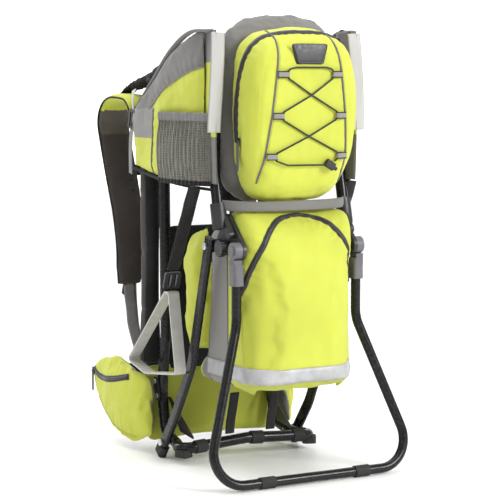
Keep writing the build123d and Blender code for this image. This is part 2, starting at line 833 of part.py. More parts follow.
# ---- compression straps at the cockpit's front corners ------------------------------------------
with BuildPart() as side_buckles:
    with BuildSketch(x_plane(-151.5)):
        with Locations((97, 582)):
            RectangleRounded(26, 34, 4, rotation=12)
            with GridLocations(9, 0, 2, 1):
                Rectangle(5, 26, rotation=12, mode=Mode.SUBTRACT)
    extrude(amount=-4)
    mirror(about=Plane.YZ)
save(side_buckles, "side_buckles")

# ---- bungee lacing on the upper pocket ------------------------------------------------------------
CORD_D = 3.0
LACE_OFF = 2.5  # the lacing's middle stands this far off the pocket's face
tab_rows = [(58, 660), (66, 594), (73, 529)]
TAB_LONG = 17.0


def face_y(z):
    """Y of the upper pocket's face at a height between its lowest and highest tab."""
    heights = [(529, -233), (594, -242), (670, -244)]
    for (low_z, low_y), (high_z, high_y) in zip(heights, heights[1:]):
        if z <= high_z:
            return low_y + (high_y - low_y) * (z - low_z) / (high_z - low_z)
    return heights[-1][1]


def on_face(x, z, lift=0.0):
    """Point of the lacing over the pocket's face."""
    return (x, face_y(z) - LACE_OFF - lift, z)


with BuildPart() as lace_tabs:
    for x, z in tab_rows:
        for side in SIDES.values():
            with Locations((side * (x - TAB_LONG / 2), face_y(z) - LACE_OFF - 0.7, z)):
                Box(TAB_LONG, 5, 9)
save(lace_tabs, "lace_tabs")

CROSS_LIFT = CORD_D + 0.6
lace_route = [
    on_face(33, 514),
    on_face(-36, 515),
    on_face(-59, 523),
    on_face(-58, 534),
    on_face(0, 562, CROSS_LIFT),
    on_face(50, 588),
    on_face(52, 599),
    on_face(0, 628, 0.2),
    on_face(-42, 654),
    on_face(-41, 668),
    on_face(-28, 671),
    on_face(28, 671),
    on_face(41, 668),
    on_face(42, 654),
    on_face(0, 627, CROSS_LIFT),
    on_face(-50, 600),
    on_face(-51, 588),
    on_face(0, 561, 0.2),
    on_face(55, 535),
    on_face(60, 526),
    on_face(52, 520),
]
lace_radii = [14, 5, 5, 60, 6, 6, 60, 6, 6, 6, 6, 6, 6, 60, 6, 6, 60, 6, 4]
bungee = round_bar(lace_route, lace_radii, CORD_D)
save(bungee, "bungee_cord")
lace_bar = round_bar(lace_route, lace_radii, CORD_D + 0.2)

lock_plane = Plane(origin=on_face(43, 514, 1.5), x_dir=(0, 1, 0), z_dir=(0.85, 0, -0.53))
with BuildPart() as cord_lock:
    with BuildSketch(lock_plane.offset(-8)):
        RectangleRounded(9, 13, 3)
    extrude(amount=16)
    with BuildSketch(lock_plane.offset(-2)):
        Circle(3.6)
    extrude(amount=20, mode=Mode.SUBTRACT)
    add(lace_bar.part, mode=Mode.SUBTRACT)
save(cord_lock, "cord_lock")

with BuildPart() as cord_lock_plunger:
    with BuildSketch(lock_plane.offset(2)):
        Circle(3.3)
    extrude(amount=12)
save(cord_lock_plunger, "cord_lock_plunger")

# ---- zip pulls and their sliders ---------------------------------------------------------------------
PULL_WIDE = 7.0
PULL_THICK = 1.2
SLIDER_PIN_R = 1.2
# name: (side, surface's |X|, Y, Z, length)
PULLS = {
    "upper_zip_pull": (-1, 105.0, -197, 552, 50),
    "lower_zip_pull": (-1, 101.0, -192, 299, 38),
    "hip_zip_pull_left": (-1, 162.6, 249, 122, 40),
    "hip_zip_pull_right": (1, 162.6, 249, 122, 40),
}
for name, (side, surface, y, z, long) in PULLS.items():
    with BuildPart() as pull:
        with BuildSketch(x_plane(side * (surface + 1.3))):
            with Locations((y, z - long / 2 + PULL_WIDE / 2)):
                SlotOverall(long, PULL_WIDE, rotation=90)
            with Locations((y, z)):
                Circle(SLIDER_PIN_R + 0.06, mode=Mode.SUBTRACT)
        extrude(amount=side * PULL_THICK)
    save(pull, name)

with BuildPart() as zip_sliders:
    for side, surface, y, z, _ in PULLS.values():
        with BuildSketch(x_plane(side * (surface + 0.1))):
            with Locations((y, z)):
                RectangleRounded(9, 14, 2)
        extrude(amount=side * 1.0)
        with BuildSketch(x_plane(side * (surface + 1))):
            with Locations((y, z)):
                Circle(SLIDER_PIN_R)
        extrude(amount=side * 2.0)
        with BuildSketch(x_plane(side * (surface + 2.7))):
            with Locations((y, z)):
                Circle(2.2)
        extrude(amount=side * 0.8)
save(zip_sliders, "zip_sliders")
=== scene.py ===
import math

import bmesh
import bpy
import numpy as np
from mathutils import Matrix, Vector, noise
from mathutils.bvhtree import BVHTree
from mathutils.kdtree import KDTree


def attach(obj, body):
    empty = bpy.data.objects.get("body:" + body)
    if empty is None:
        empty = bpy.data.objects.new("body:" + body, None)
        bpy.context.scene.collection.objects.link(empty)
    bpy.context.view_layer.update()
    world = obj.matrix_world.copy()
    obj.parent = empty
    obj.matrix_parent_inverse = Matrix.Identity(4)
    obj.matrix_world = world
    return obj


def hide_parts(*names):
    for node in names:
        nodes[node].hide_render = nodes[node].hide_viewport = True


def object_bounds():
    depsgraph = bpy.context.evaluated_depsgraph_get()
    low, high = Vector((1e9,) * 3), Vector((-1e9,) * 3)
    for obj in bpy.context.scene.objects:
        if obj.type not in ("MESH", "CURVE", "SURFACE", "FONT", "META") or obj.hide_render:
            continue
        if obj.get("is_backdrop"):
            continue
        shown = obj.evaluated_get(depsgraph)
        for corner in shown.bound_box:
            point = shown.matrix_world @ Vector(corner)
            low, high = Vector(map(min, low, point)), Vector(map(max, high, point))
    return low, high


# Child carrier backpack. Lengths in the helpers are millimetres; objects are in metres.
MM = 0.001
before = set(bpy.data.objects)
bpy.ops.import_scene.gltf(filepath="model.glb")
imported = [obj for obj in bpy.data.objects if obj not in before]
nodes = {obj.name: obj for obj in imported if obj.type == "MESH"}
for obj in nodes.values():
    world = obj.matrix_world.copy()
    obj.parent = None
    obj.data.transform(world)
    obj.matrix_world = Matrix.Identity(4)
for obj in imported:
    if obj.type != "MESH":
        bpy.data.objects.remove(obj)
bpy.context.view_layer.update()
scene = bpy.context.scene


# ---- materials ----
class Graph:
    """Short way to write a node material."""

    def __init__(self, name, color, roughness=0.6, metallic=0.0, **sockets):
        self.material = bpy.data.materials.new(name)
        self.material.use_nodes = True
        self.tree = self.material.node_tree
        self.shader = self.tree.nodes["Principled BSDF"]
        self.shader.inputs["Base Color"].default_value = (*color, 1)
        self.shader.inputs["Roughness"].default_value = roughness
        self.shader.inputs["Metallic"].default_value = metallic
        for key, value in sockets.items():
            self.shader.inputs[key.replace("_", " ")].default_value = value
        self.where = self.add("ShaderNodeTexCoord").outputs["Object"]
        self.bumps = None

    def add(self, kind, **values):
        node = self.tree.nodes.new(kind)
        for key, value in values.items():
            if hasattr(node, key):
                setattr(node, key, value)
            else:
                node.inputs[key.replace("_", " ")].default_value = value
        return node

    def link(self, a, b):
        self.tree.links.new(a, b)

    def stretched(self, scale, rotation=(0, 0, 0)):
        mapping = self.add("ShaderNodeMapping")
        mapping.inputs["Scale"].default_value = scale
        mapping.inputs["Rotation"].default_value = rotation
        self.link(self.where, mapping.inputs["Vector"])
        return mapping.outputs["Vector"]

    def noise(self, scale, detail=3, vector=None):
        node = self.add("ShaderNodeTexNoise", Scale=scale, Detail=detail)
        self.link(vector or self.where, node.inputs["Vector"])
        return node.outputs["Fac"]

    def wave(self, period, direction="X", distortion=0.0, vector=None):
        node = self.add("ShaderNodeTexWave", bands_direction=direction, Scale=0.314 / period)
        node.inputs["Distortion"].default_value = distortion
        self.link(vector or self.where, node.inputs["Vector"])
        return node.outputs["Fac"]

    def ramp(self, fac, stops):
        node = self.add("ShaderNodeValToRGB")
        while len(node.color_ramp.elements) < len(stops):
            node.color_ramp.elements.new(0.5)
        for element, (spot, color) in zip(node.color_ramp.elements, stops):
            element.position = spot
            element.color = (*color, 1) if hasattr(color, "__len__") else (color,) * 3 + (1,)
        self.link(fac, node.inputs["Fac"])
        return node.outputs["Color"]

    def math(self, operation, a, b=None):
        node = self.add("ShaderNodeMath", operation=operation)
        for index, value in enumerate((a, b)):
            if value is None:
                continue
            if isinstance(value, (int, float)):
                node.inputs[index].default_value = value
            else:
                self.link(value, node.inputs[index])
        return node.outputs[0]

    def mix(self, fac, a, b, blend="MIX"):
        node = self.add("ShaderNodeMix", data_type="RGBA", blend_type=blend)
        for socket, value in ((node.inputs["Factor"], fac), (node.inputs[6], a), (node.inputs[7], b)):
            if hasattr(value, "__len__"):
                socket.default_value = (*value, 1)
            elif isinstance(value, (int, float)):
                socket.default_value = value
            else:
                self.link(value, socket)
        return node.outputs[2]

    def color(self, output):
        self.link(output, self.shader.inputs["Base Color"])

    def rough(self, output):
        self.link(output, self.shader.inputs["Roughness"])

    def bump(self, height, distance_mm, strength=1.0):
        node = self.add("ShaderNodeBump", Strength=strength, Distance=distance_mm * MM)
        self.link(height, node.inputs["Height"])
        if self.bumps is not None:
            self.link(self.bumps, node.inputs["Normal"])
        self.bumps = node.outputs["Normal"]
        self.link(self.bumps, self.shader.inputs["Normal"])


def shade(color, factor):
    return tuple(min(1.0, c * factor) for c in color)


def woven(name, color, period=0.0011, vary=0.12, sheen=0.1, crease=0.9, **extra):
    """Plain woven polyester: crossed yarns, soft creases, faded and darker patches."""
    g = Graph(name, color, 0.75, Sheen_Weight=sheen, Sheen_Roughness=0.45, **extra)
    patches = g.ramp(g.noise(9, 4), [(0.3, shade(color, 1 - vary)), (0.7, shade(color, 1 + vary))])
    tilted = g.stretched((1, 1, 1), (0.62, 0.62, 0.78))
    yarn = g.math("MULTIPLY", g.wave(period, "X", vector=tilted), g.wave(period, "Z", vector=tilted))
    flecks = g.ramp(yarn, [(0.0, 0.9), (0.5, 1.02), (1.0, 1.06)])
    g.color(g.mix(1.0, patches, flecks, "MULTIPLY"))
    g.rough(g.ramp(g.noise(35, 3), [(0.3, 0.65), (0.7, 0.85)]))
    g.bump(yarn, 0.12, 0.6)
    g.bump(g.noise(38, 4, g.stretched((1.0, 1.0, 0.45), (0.3, 0.2, 0))), crease, 0.55)
    return g.material


def webbing(name, color, rough=0.7):
    """Flat ribbed webbing."""
    g = Graph(name, color, rough, Sheen_Weight=0.04, Specular_IOR_Level=0.3)
    rib = g.wave(0.0016, "Z", 0.4)
    cross = g.wave(0.0022, "DIAGONAL", 0.2)
    tone = g.ramp(rib, [(0.0, shade(color, 0.72)), (0.6, color), (1.0, shade(color, 1.12))])
    worn = g.ramp(g.noise(60, 4), [(0.35, 0.9), (0.75, 1.08)])
    g.color(g.mix(1.0, tone, worn, "MULTIPLY"))
    g.bump(g.math("ADD", rib, g.math("MULTIPLY", cross, 0.4)), 0.25, 0.7)
    return g.material


def brushed(name, color):
    """Brushed knit lining over foam, with fine nap and shallow dents."""
    g = Graph(name, color, 0.92, Sheen_Weight=0.08, Sheen_Roughness=0.6, Specular_IOR_Level=0.2)
    nap = g.noise(900, 3)
    tone = g.ramp(g.noise(14, 5), [(0.3, shade(color, 0.8)), (0.7, shade(color, 1.25))])
    g.color(g.mix(1.0, tone, g.ramp(nap, [(0.2, 0.8), (0.8, 1.15)]), "MULTIPLY"))
    g.bump(nap, 0.25, 0.5)
    g.bump(g.noise(30, 3), 0.8, 0.4)
    return g.material


def netting(name, color, hole):
    """Knitted mesh: rows of small dark holes between pale ribs."""
    g = Graph(name, color, 0.85, Sheen_Weight=0.2)
    cells = g.add("ShaderNodeTexVoronoi", Scale=1 / 0.0028, Randomness=0.25)
    g.link(g.stretched((1, 1, 0.7)), cells.inputs["Vector"])
    holes = g.ramp(cells.outputs["Distance"], [(0.22, hole), (0.42, color)])
    tone = g.ramp(g.noise(25, 3), [(0.3, 0.85), (0.7, 1.15)])
    g.color(g.mix(1.0, holes, tone, "MULTIPLY"))
    g.bump(cells.outputs["Distance"], 0.6, 0.7)
    return g.material


def gloss_paint(name):
    """Black powder coat with a clear gloss, faint orange peel and rubbed spots."""
    g = Graph(
        name, (0.009, 0.009, 0.010), 0.24, Coat_Weight=0.1, Coat_Roughness=0.08, Specular_IOR_Level=0.25
    )
    rubbed = g.ramp(g.noise(70, 6), [(0.72, (0.009, 0.009, 0.010)), (0.86, (0.03, 0.03, 0.032))])
    g.color(rubbed)
    g.rough(g.ramp(g.noise(120, 3), [(0.3, 0.2), (0.7, 0.34)]))
    g.bump(g.noise(700, 2), 0.02, 0.15)
    return g.material


def moulded(name, color, rough=0.5, grain=1200):
    """Injection-moulded plastic or rubber with a fine spark grain and rubbed edges."""
    g = Graph(name, color, rough)
    tone = g.ramp(g.noise(45, 4), [(0.35, shade(color, 0.88)), (0.7, shade(color, 1.18))])
    g.color(tone)
    g.rough(g.ramp(g.noise(180, 3), [(0.3, rough - 0.08), (0.7, rough + 0.1)]))
    g.bump(g.noise(grain, 2), 0.1, 0.45)
    return g.material


def metal(name, color, rough=0.3):
    """Plated metal with turning marks and small scratches."""
    g = Graph(name, color, rough, metallic=1.0)
    marks = g.noise(220, 4, g.stretched((6, 0.6, 0.6)))
    g.rough(g.ramp(marks, [(0.3, rough - 0.1), (0.75, rough + 0.2)]))
    g.color(g.ramp(g.noise(50, 3), [(0.35, shade(color, 0.8)), (0.7, color)]))
    g.bump(marks, 0.05, 0.4)
    return g.material


LIME = (0.575, 0.62, 0.07)
GREY = (0.19, 0.182, 0.175)
lime = woven("lime_cloth", LIME, vary=0.07, sheen=0.12)
lime_low = woven("lime_cloth_low", shade(LIME, 0.82), vary=0.09, sheen=0.12)
grey = woven("grey_cloth", GREY, vary=0.08, sheen=0.2)
pale_grey = woven("pale_grey_cloth", (0.27, 0.26, 0.25), vary=0.06)
canopy_cloth = woven("canopy_cloth", (0.50, 0.49, 0.475), vary=0.05)
piping_cloth = woven("grey_piping", (0.16, 0.15, 0.15), vary=0.15)
zip_tape = woven("zip_tape", (0.045, 0.038, 0.044), period=0.0008, vary=0.15, crease=0.2)
black_cloth = woven("black_cloth", (0.018, 0.018, 0.018), vary=0.3, sheen=0.06, Specular_IOR_Level=0.25)
taupe = brushed("taupe_lining", (0.055, 0.047, 0.043))
taupe_light = brushed("taupe_panel", (0.10, 0.088, 0.08))
black_pad = brushed("black_padding", (0.02, 0.019, 0.018))
black_web = webbing("black_webbing", (0.02, 0.02, 0.021))
pale_web = webbing("pale_webbing", (0.56, 0.55, 0.52))
mid_web = webbing("grey_webbing", (0.26, 0.255, 0.25))
olive = netting("olive_mesh", (0.15, 0.145, 0.118), (0.02, 0.02, 0.017))
silver = moulded("reflective_tape", (0.44, 0.44, 0.45), 0.36, 1500)
thread_lime = moulded("lime_thread", shade(LIME, 0.62), 0.7)
thread_grey = moulded("grey_thread", (0.2, 0.2, 0.19), 0.7)
paint = gloss_paint("black_gloss_tube")
plastic = moulded("black_plastic", (0.022, 0.022, 0.024), 0.42)
socket_grey = moulded("grey_plastic", (0.13, 0.125, 0.135), 0.5)
rubber = moulded("black_rubber", (0.02, 0.02, 0.02), 0.75, 600)
zinc = metal("zinc_bolt", (0.62, 0.62, 0.64))
dark_metal = metal("black_zip_metal", (0.09, 0.09, 0.095), 0.4)
pull_cloth = webbing("zip_pull_tape", (0.12, 0.115, 0.115))
elastic = webbing("bungee_sheath", (0.035, 0.045, 0.03), 0.6)

CAD_LOOKS = {
    paint: "main_frame head_hoop stand_tube struts yoke_bar",
    socket_grey: "stand_sockets lock_button_left lock_button_right",
    plastic: "hinge_blocks hand_knobs belt_brackets corner_gussets back_board ladder_locks side_buckles"
    " stirrup_slides harness_buckle_body harness_buckle_tongue chest_buckle_body chest_buckle_tongue"
    " waist_buckle_body waist_buckle_tongue cord_lock cord_lock_plunger",
    rubber: "base_feet stand_feet crossbar_sleeves",
    zinc: "hinge_pins strut_bolts bracket_rivets",
    dark_metal: "zip_sliders",
    pull_cloth: "upper_zip_pull lower_zip_pull hip_zip_pull_left hip_zip_pull_right",
    elastic: "bungee_cord",
    pale_web: "stirrup_loops",
}


# ---- curves and meshes ----
def path(points, step=4.0, closed=False):
    """Evenly spaced points on a Catmull-Rom curve through the given points."""
    p = np.array(points, float)
    if closed:
        p = np.vstack([p[-1], p, p[0], p[1]])
    else:
        p = np.vstack([2 * p[0] - p[1], p, 2 * p[-1] - p[-2]])
    dense = []
    for i in range(1, len(p) - 2):
        t = np.linspace(0, 1, 24, endpoint=False)[:, None]
        a, b, c, d = p[i - 1], p[i], p[i + 1], p[i + 2]
        dense.append(
            0.5 * (2 * b + (c - a) * t + (2 * a - 5 * b + 4 * c - d) * t**2
                   + (3 * b - a - 3 * c + d) * t**3)
        )
    dense = np.vstack(dense + [p[-2][None]])
    length = np.r_[0, np.cumsum(np.linalg.norm(np.diff(dense, axis=0), axis=1))]
    count = max(3, int(round(length[-1] / step)) + 1)
    at = np.linspace(0, length[-1], count)
    even = np.stack([np.interp(at, length, dense[:, k]) for k in range(3)], 1)
    return even[:-1] if closed else even


def unit(v):
    return v / np.maximum(np.linalg.norm(v, axis=-1, keepdims=True), 1e-9)


def tangents(p, closed=False):
    if closed:
        return unit(np.roll(p, -1, 0) - np.roll(p, 1, 0))
    return unit(np.gradient(p, axis=0))


def mirrored(p):
    return np.array(p, float) * [-1, 1, 1]


def placed(name, data):
    """A new object in the scene."""
    obj = bpy.data.objects.new(name, data)
    scene.collection.objects.link(obj)
    return obj


def dressed(mesh, looks):
    """Gives a mesh one material or a list of them."""
    mesh.materials.clear()
    for look in looks if isinstance(looks, (list, tuple)) else [looks]:
        mesh.materials.append(look)


for look, names in CAD_LOOKS.items():
    for name in names.split():
        dressed(nodes[name].data, look)


def make(name, verts, faces, looks):
    """A mesh object from millimetre vertices, riding on the frame."""
    mesh = bpy.data.meshes.new(name)
    mesh.from_pydata((np.asarray(verts, float) * MM).tolist(), [], faces)
    mesh.update()
    obj = placed(name, mesh)
    dressed(mesh, looks)
    bm = bmesh.new()
    bm.from_mesh(mesh)
    bmesh.ops.remove_doubles(bm, verts=bm.verts, dist=1e-6)
    bmesh.ops.recalc_face_normals(bm, faces=bm.faces)
    bm.to_mesh(mesh)
    bm.free()
    mesh.shade_smooth()
    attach(obj, "frame")
    return obj


def rings_to_mesh(rings, closed=False):
    """Faces over a stack of equal rings; open stacks get a cap at each end."""
    count = len(rings[0])
    verts = np.vstack(rings)
    faces = []
    for r in range(len(rings) - (0 if closed else 1)):
        for k in range(count):
            a, b = r * count, ((r + 1) % len(rings)) * count
            faces.append((a + k, a + (k + 1) % count, b + (k + 1) % count, b + k))
    if not closed:
        faces.append(tuple(range(count))[::-1])
        faces.append(tuple((len(rings) - 1) * count + k for k in range(count)))
    return verts, faces


def joined(parts):
    """Several (verts, faces) as one."""
    verts, faces, start = [], [], 0
    for v, f in parts:
        verts.append(v)
        faces += [tuple(i + start for i in face) for face in f]
        start += len(v)
    return np.vstack(verts), faces


def flipped(part):
    """The mirror image of (verts, faces) across X = 0."""
    verts, faces = part
    return mirrored(verts), [tuple(reversed(f)) for f in faces]


def paired(part):
    """A left-hand (verts, faces) and its mirror image as one."""
    return joined([part, flipped(part)])


def both_sides(route):
    """A left-hand route and its mirror image."""
    return [route, mirrored(route)]


def whole(half):
    """A symmetrical route from its left half, whose last point is on the centre line."""
    return half + [(-x, y, z) for x, y, z in half[-2::-1]]


def strap_section(width, thick, crown=0.0, count=9):
    """Cross-section of a strap as (across, up): flat with rounded edges, or crowned."""
    across = np.linspace(-1, 1, count)
    edge = (1 - np.abs(across) ** (2.2 if crown else 8)) ** 0.5
    top = np.stack([across * width / 2, edge * thick / 2], 1)
    bottom = np.stack([across[::-1] * width / 2, -edge[::-1] * thick / 2], 1)
    return np.vstack([top, bottom[1:-1]])


def swept(p, section, side, closed=False, widths=None):
    """Sweep of a section along points; side is the across direction, one or per point."""
    t = tangents(p, closed)
    side = np.broadcast_to(np.asarray(side, float), p.shape)
    side = unit(side - (side * t).sum(1, keepdims=True) * t)
    up = np.cross(t, side)
    rings = []
    for i in range(len(p)):
        w = 1.0 if widths is None else widths[i]
        rings.append(p[i] + side[i] * section[:, :1] * w + up[i] * section[:, 1:])
    return rings_to_mesh(rings, closed)


def round_section(radius, count=10):
    a = np.linspace(0, 2 * math.pi, count, endpoint=False)
    return np.stack([np.cos(a), np.sin(a)], 1) * radius


class Skin:
    """Ray target over a finished mesh, in millimetres."""

    def __init__(self, obj):
        graph = bpy.context.evaluated_depsgraph_get()
        graph.update()
        shown = obj.evaluated_get(graph)
        mesh = shown.to_mesh()
        verts = [tuple(v.co / MM) for v in mesh.vertices]
        faces = [tuple(f.vertices) for f in mesh.polygons]
        shown.to_mesh_clear()
        self.tree = BVHTree.FromPolygons(verts, faces)

    def hit(self, points, toward, back=60.0):
        """Points and normals where rays along toward meet the mesh; nearest point if they miss."""
        spots, normals = [], []
        toward = np.broadcast_to(np.asarray(toward, float), np.shape(points))
        for p, d in zip(points, unit(toward)):
            spot, normal, _, _ = self.tree.ray_cast(Vector(p - d * back), Vector(d), back + 90)
            if spot is None:
                spot, normal, _, _ = self.tree.find_nearest(Vector(p))
            spots.append(spot)
            normals.append(normal if normal.dot(Vector(d)) < 0 else -normal)
        return np.array(spots), np.array(normals)


def calm(v, rounds):
    """Neighbour averaging along a path."""
    for _ in range(rounds):
        w = v.copy()
        w[1:-1] = (v[:-2] + 2 * v[1:-1] + v[2:]) / 4
        v = w
    return v


def bedded(skin, p, toward, rounds=4):
    """Calmed points and normals where a path meets a skin."""
    spot, normal = skin.hit(p, toward)
    return calm(spot, 2), unit(calm(normal, rounds))


def laid(skin, points, toward, width, thick, lift=0.2):
    """A ribbon lying on a skin, its edges following the surface too."""
    spot, normal = bedded(skin, path(points), toward)
    side = unit(np.cross(normal, tangents(spot)))
    top, low = [], []
    for u in np.linspace(-0.5, 0.5, 5):
        flat = spot + side * u * width
        q, _ = skin.hit(flat + normal * 4, -normal, back=6)
        far = np.linalg.norm(q - flat, axis=1) > 8
        q[far] = flat[far]
        q = calm(q, 1)
        top.append(q + normal * (lift + thick * (1.0 if abs(u) < 0.45 else 0.55)))
        low.append(q - normal * 0.6)
    top, low = np.array(top), np.array(low)
    rings = [np.vstack([top[:, i], low[::-1, i]]) for i in range(len(spot))]
    return rings_to_mesh(rings)


def corded(skin, points, toward, radius):
    """A round piping lying on a skin, mostly sunk in its seam."""
    spot, normal = bedded(skin, path(points), toward, 3)
    return swept(spot + normal * radius * 0.3, round_section(radius, 8), normal)


STITCH_PITCH, STITCH_LONG = 4.5, 3.0


def stitched(skin, points, toward, radius=0.35, offset=0.0):
    """A row of separate stitches on a skin, offset sideways from the path."""
    spot, normal = skin.hit(path(points, STITCH_PITCH), toward)
    t = tangents(calm(spot, 1))
    side = unit(np.cross(normal, t))
    if offset:
        spot, normal = skin.hit(spot + side * offset + normal * 5, -normal, back=8)
    parts = []
    for q, d, n in zip(spot, t, normal):
        d = d * STITCH_LONG
        ends = np.array([q - d / 2, q - d / 5 + n * 0.25, q + d / 5 + n * 0.25, q + d / 2])
        parts.append(swept(ends, round_section(radius, 5), n))
    return joined(parts)


def read_points(mesh):
    """Vertex positions in millimetres, and normals."""
    count = len(mesh.vertices)
    co, normal = np.empty(count * 3), np.empty(count * 3, np.float32)
    mesh.vertices.foreach_get("co", co)
    mesh.vertex_normals.foreach_get("vector", normal)
    return co.reshape(-1, 3) / MM, normal.reshape(-1, 3)


def write_points(mesh, points):
    mesh.vertices.foreach_set("co", (points * MM).ravel())
    mesh.update()


def wobble(obj, size, scale, seed=0.0, where=None, stretch=(1, 1, 1)):
    """Moves vertices along their normals by smooth noise, size and scale in millimetres."""
    points, normals = read_points(obj.data)
    moves = np.zeros(len(points))
    for i, p in enumerate(points):
        weight = 1.0 if where is None else where(Vector(p))
        if weight:
            q = Vector(p * stretch) / scale + Vector((seed, seed, seed))
            moves[i] = noise.noise(q) * size * weight
    write_points(obj.data, points + normals * moves[:, None])


def puckered(obj, seams, depth=1.2, reach=9.0, pitch=13.0, groove=1.6, seed=0):
    """Draws a mesh in along seams, with short gathers running off them."""
    points = np.vstack([path(s, 2.0) for s in seams])
    run = np.concatenate([np.arange(len(path(s, 2.0))) * 2.0 for s in seams])
    tree = KDTree(len(points))
    for i, q in enumerate(points):
        tree.insert(Vector(q), i)
    tree.balance()
    co, normals = read_points(obj.data)
    moves = np.zeros(len(co))
    for k, p in enumerate(co):
        _, i, d = tree.find(p)
        if d > 4 * reach:
            continue
        beat = math.sin(2 * math.pi * run[i] / pitch + 2.5 * noise.noise(Vector((run[i] / 21, seed, 3))))
        near = math.exp(-((d / reach) ** 2))
        far = math.exp(-((d / (2.6 * reach)) ** 2))
        moves[k] = groove * near + depth * far * (0.5 + 0.5 * beat)
    write_points(obj.data, co - normals * moves[:, None])


def modify(obj, kind, **settings):
    """Adds a modifier."""
    modifier = obj.modifiers.new(kind, kind)
    for key, value in settings.items():
        setattr(modifier, key, value)


CLOTH_FRAMES = 20


def inflate(obj, voxel, pressure, cap, held=None, shrink=0.0, calming=14):
    """Remesh, then Cloth with pressure; no point moves more than cap; held(p) pins seams."""
    modify(obj, "REMESH", mode="VOXEL", voxel_size=voxel * MM)
    bake(obj)
    modify(obj, "SMOOTH", factor=0.5, iterations=calming)
    bake(obj)
    rest = np.array([v.co for v in obj.data.vertices])
    if shrink:
        co, normals = read_points(obj.data)
        write_points(obj.data, co - normals * shrink)
    cloth = obj.modifiers.new("cloth", "CLOTH")
    s = cloth.settings
    s.quality = 4
    s.mass = 0.25
    s.tension_stiffness = s.compression_stiffness = 12
    s.shear_stiffness, s.bending_stiffness = 6, 0.6
    s.use_pressure, s.uniform_pressure_force = True, pressure
    s.effector_weights.gravity = 0
    if held is not None:
        group = obj.vertex_groups.new(name="held")
        for v in obj.data.vertices:
            w = held(v.co / MM)
            if w > 0:
                group.add([v.index], w, "REPLACE")
        s.vertex_group_mass = "held"
    cloth.point_cache.frame_end = CLOTH_FRAMES
    for f in range(1, CLOTH_FRAMES + 1):
        scene.frame_set(f)
    bake(obj)
    scene.frame_set(1)
    now = np.array([v.co for v in obj.data.vertices])
    move = now - rest
    size = np.linalg.norm(move, axis=1, keepdims=True)
    now = rest + move * np.minimum(1, cap * MM / np.maximum(size, 1e-9))
    obj.data.vertices.foreach_set("co", now.astype(np.float32).ravel())
    obj.data.update()
    modify(obj, "SUBSURF", levels=1, render_levels=1)
    bake(obj)
    obj.data.shade_smooth()


def bake(obj):
    """Applies the modifiers."""
    graph = bpy.context.evaluated_depsgraph_get()
    graph.update()
    mesh = bpy.data.meshes.new_from_object(obj.evaluated_get(graph))
    looks = list(obj.data.materials)
    obj.modifiers.clear()
    obj.data = mesh
    if len(mesh.materials) < len(looks):
        dressed(mesh, looks)


def paint_faces(obj, choose):
    """Material index of each face from its centre (mm) and normal."""
    for f in obj.data.polygons:
        f.material_index = choose(f.center / MM, f.normal)


def dome(outline, base_y, face_y, power=8.0, rings=26, count=140, closing=2.5):
    """A pocket or panel over an (x, z) outline: back at base_y, bulging out to face_y(x, z)."""
    edge = path([(x, 0, z) for x, z in outline], 3.0, closed=True)
    at = np.linspace(0, len(edge), count, endpoint=False)
    full = np.vstack([edge, edge[:1]])
    edge = np.stack([np.interp(at, np.arange(len(full)), full[:, k]) for k in range(3)], 1)
    centre = edge.mean(0)
    levels = []
    for s in np.r_[np.linspace(0.04, 0.8, rings // 2), 1 - 0.2 * np.linspace(1, 0, rings // 2)[1:] ** 2]:
        p = centre + (edge - centre) * s
        rise = (1 - s**power) ** (1 / closing)
        y = base_y + (np.array([face_y(x, z) for x, z in p[:, [0, 2]]]) - base_y) * rise
        levels.append(np.stack([p[:, 0], y, p[:, 2]], 1))
    back = [np.stack([q[:, 0], np.full(count, base_y + 0.5), q[:, 2]], 1)
            for q in (centre + (edge - centre) * s for s in (0.9, 0.5, 0.04))]
    return rings_to_mesh(levels + back)


def between(table):
    """A smooth function through (key, value) pairs."""
    fine = path([(k, v, 0) for k, v in sorted(table)], 2.0)
    return lambda k: float(np.interp(k, fine[:, 0], fine[:, 1]))


def mirrored_outline(half):
    """Closed outline from its left half, first and last points near the centre line."""
    return half + [(-x, z) for x, z in reversed(half)]


# ---- hood: padded panel round the hoop ----
hood_half = [(-30, 446), (-70, 450), (-100, 470), (-113, 505), (-119, 560), (-117, 640), (-111, 700),
             (-93, 738), (-60, 757), (-25, 761)]
HOOP_Y, HOOD_REAR_Y, HOOD_FRONT_Y = -136, -159.0, -114.0
hood_halves = [dome(mirrored_outline(hood_half), HOOP_Y, lambda x, z: y, 5.5, closing=2.0)
               for y in (HOOD_REAR_Y, HOOD_FRONT_Y)]
hood = make("hood_panel", *joined(hood_halves), [grey, pale_grey])
inflate(hood, 5, 3, 5)
hood_seams = []
for x, z, u in ((-72, 752, -16), (-34, 760, -8), (36, 760, 8), (80, 747, 18)):
    hood_seams.append([(x, -165, z - 26), (x, -150, z + 2), (x + u * 0.2, -136, z + 3),
                       (x + u * 0.5, -120, z + 1), (x + u, -108, z - 22)])
puckered(hood, hood_seams, 1.4, 6, 12, 2.2)
wobble(hood, 3.2, 34, 5.0, stretch=(1, 1, 0.5))
wobble(hood, 1.2, 12, 2.0)
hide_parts("hood")


def without_inner_walls(mesh):
    """A bmesh of the mesh less each closed wall that lies inside another, such as an air space."""
    bm = bmesh.new()
    bm.from_mesh(mesh)
    bmesh.ops.remove_doubles(bm, verts=bm.verts, dist=1e-6)
    walls, seen = [], set()
    for start in bm.verts:
        if start in seen:
            continue
        stack, wall = [start], []
        seen.add(start)
        while stack:
            v = stack.pop()
            wall.append(v)
            for e in v.link_edges:
                other = e.other_vert(v)
                if other not in seen:
                    seen.add(other)
                    stack.append(other)
        co = np.array([v.co for v in wall])
        walls.append((co.min(0), co.max(0), wall))
    for low, high, wall in walls:
        if any((low > a).all() and (high < b).all() for a, b, _ in walls):
            bmesh.ops.delete(bm, geom=wall, context="VERTS")
    return bm


